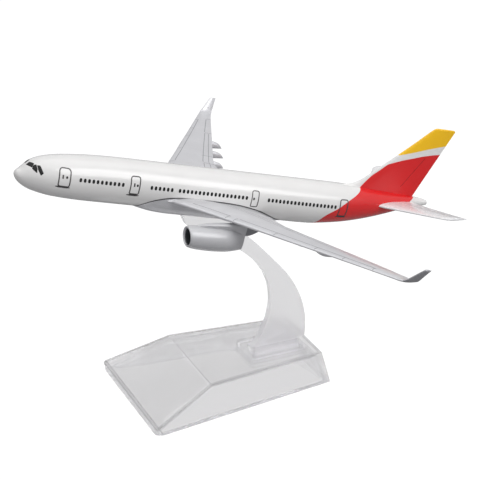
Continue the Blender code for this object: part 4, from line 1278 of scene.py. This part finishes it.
# ------------------------------------------------------------------ floor and light
def floor_material():
    """White seamless paper. It looks evenly lit, and gives little light back to the model, as paper far below it would."""
    m = Nodes("floor_paper")
    nt = m.nt
    m.set(Base_Color=m.tint((0.30, 0.30, 0.305, 1.0), m.mapr(m.noise(9.0, 3.0), 0.3, 0.7, 0.99, 1.0)), Roughness=0.95)
    m.bsdf.inputs["Specular IOR Level"].default_value = 0.0

    def node(kind, **inputs):
        n = nt.nodes.new(kind)
        for k, v in inputs.items():
            n.inputs[k].default_value = v
        return n
    path = node("ShaderNodeLightPath")
    seen = node("ShaderNodeEmission", Color=(1, 1, 1, 1), Strength=0.90)
    lit = node("ShaderNodeBsdfDiffuse", Color=(0.18, 0.18, 0.18, 1))
    both = nt.nodes.new("ShaderNodeAddShader")
    m.link(seen.outputs[0], both.inputs[0])
    m.link(lit.outputs[0], both.inputs[1])
    behind = node("ShaderNodeEmission", Color=(1, 1, 1, 1), Strength=0.76)
    a = nt.nodes.new("ShaderNodeMixShader")
    inside = m.math("ADD", path.outputs["Transmission Depth"], path.outputs["Transparent Depth"])
    inside = m.math("GREATER_THAN", inside, 0.5)
    m.link(inside, a.inputs[0])
    m.link(m.bsdf.outputs[0], a.inputs[1])
    m.link(behind.outputs[0], a.inputs[2])
    c = nt.nodes.new("ShaderNodeMixShader")
    m.link(m.math("SUBTRACT", path.outputs["Is Camera Ray"], inside, clamp=True), c.inputs[0])
    m.link(a.outputs[0], c.inputs[1])
    m.link(both.outputs[0], c.inputs[2])
    m.link(c.outputs[0], m.out.inputs["Surface"])
    return m.mat


bm = bmesh.new()
s = 3.0
bm.faces.new([bm.verts.new(p) for p in ((-s, -s, -0.00002), (s, -s, -0.00002), (s, s, -0.00002), (-s, s, -0.00002))])
me = bpy.data.meshes.new("floor")
bm.to_mesh(me)
bm.free()
floor = bpy.data.objects.new("floor", me)
bpy.context.scene.collection.objects.link(floor)
set_materials(floor, floor_material())


def area(name, place, target, size, power, size_y=None):
    d = bpy.data.lights.new(name, "AREA")
    d.energy = power
    d.shape = "RECTANGLE"
    d.size = size
    d.size_y = size_y or size
    o = bpy.data.objects.new(name, d)
    bpy.context.scene.collection.objects.link(o)
    o.location = place
    o.rotation_euler = (Vector(target) - Vector(place)).to_track_quat("-Z", "Y").to_euler()
    return o


area("top_softbox", (0.02, 0.05, 0.95), (0, 0, 0.05), 1.3, 2.1, 1.0)
area("side_panel", (0.40, -0.54, 0.60), (0.05, 0, 0.07), 0.5, 2.6, 0.5)
area("front_fill", (-0.55, -0.95, 0.85), (0, 0, 0.06), 0.6, 0.15)

world = bpy.data.worlds.new("studio")
bpy.context.scene.world = world
world.use_nodes = True
wt = world.node_tree
wt.nodes.clear()


def wnode(kind, **inputs):
    n = wt.nodes.new(kind)
    for k, v in inputs.items():
        n.inputs[k].default_value = v
    return n


coord = wnode("ShaderNodeTexCoord")
split = wnode("ShaderNodeSeparateXYZ")
wt.links.new(coord.outputs["Generated"], split.inputs[0])
ramp = wnode("ShaderNodeValToRGB")
wt.links.new(split.outputs["Z"], ramp.inputs[0])
ramp.color_ramp.elements[0].position = 0.0
ramp.color_ramp.elements[0].color = (0.60, 0.60, 0.61, 1)
ramp.color_ramp.elements[1].position = 0.5
ramp.color_ramp.elements[1].color = (0.66, 0.66, 0.67, 1)
room = wnode("ShaderNodeBackground", Strength=0.9)
wt.links.new(ramp.outputs[0], room.inputs[0])
paper = wnode("ShaderNodeBackground", Color=(1, 1, 1, 1), Strength=1.0)
sight = wnode("ShaderNodeLightPath")
beyond = wnode("ShaderNodeBackground", Color=(1, 1, 1, 1), Strength=0.74)
passed = wnode("ShaderNodeMath")
wt.links.new(sight.outputs["Transmission Depth"], passed.inputs[0])
wt.links.new(sight.outputs["Transparent Depth"], passed.inputs[1])
deep = wnode("ShaderNodeMath")
deep.operation = "GREATER_THAN"
wt.links.new(passed.outputs[0], deep.inputs[0])
deep.inputs[1].default_value = 0.5
direct = wnode("ShaderNodeMath")
direct.operation = "SUBTRACT"
direct.use_clamp = True
wt.links.new(sight.outputs["Is Camera Ray"], direct.inputs[0])
wt.links.new(deep.outputs[0], direct.inputs[1])
first, mixer = wnode("ShaderNodeMixShader"), wnode("ShaderNodeMixShader")
wt.links.new(deep.outputs[0], first.inputs[0])
wt.links.new(room.outputs[0], first.inputs[1])
wt.links.new(beyond.outputs[0], first.inputs[2])
wt.links.new(direct.outputs[0], mixer.inputs[0])
wt.links.new(first.outputs[0], mixer.inputs[1])
wt.links.new(paper.outputs[0], mixer.inputs[2])
out = wnode("ShaderNodeOutputWorld")
wt.links.new(mixer.outputs[0], out.inputs[0])
bpy.context.scene.view_settings.view_transform = "Standard"

# ------------------------------------------------------------------ camera
CAM_RIGHT = Vector((0.91096196, -0.41248819, -0.00134436))
CAM_UP = Vector((0.17714028, 0.38825902, 0.90436511))
CAM_AHEAD = Vector((0.37251796, 0.82408035, -0.42675747))
cam_data = bpy.data.cameras.new("camera")
cam = bpy.data.objects.new("camera", cam_data)
bpy.context.scene.collection.objects.link(cam)
cam_data.sensor_width = 36.0
cam_data.lens = 126.7
cam_data.clip_start = 0.01
cam_data.clip_end = 50.0
cam.matrix_world = Matrix(((CAM_RIGHT.x, CAM_UP.x, -CAM_AHEAD.x, -0.20856 - ORIGIN_X * MM),
                           (CAM_RIGHT.y, CAM_UP.y, -CAM_AHEAD.y, -0.47788),
                           (CAM_RIGHT.z, CAM_UP.z, -CAM_AHEAD.z, 0.30110),
                           (0, 0, 0, 1)))
bpy.context.scene.camera = cam
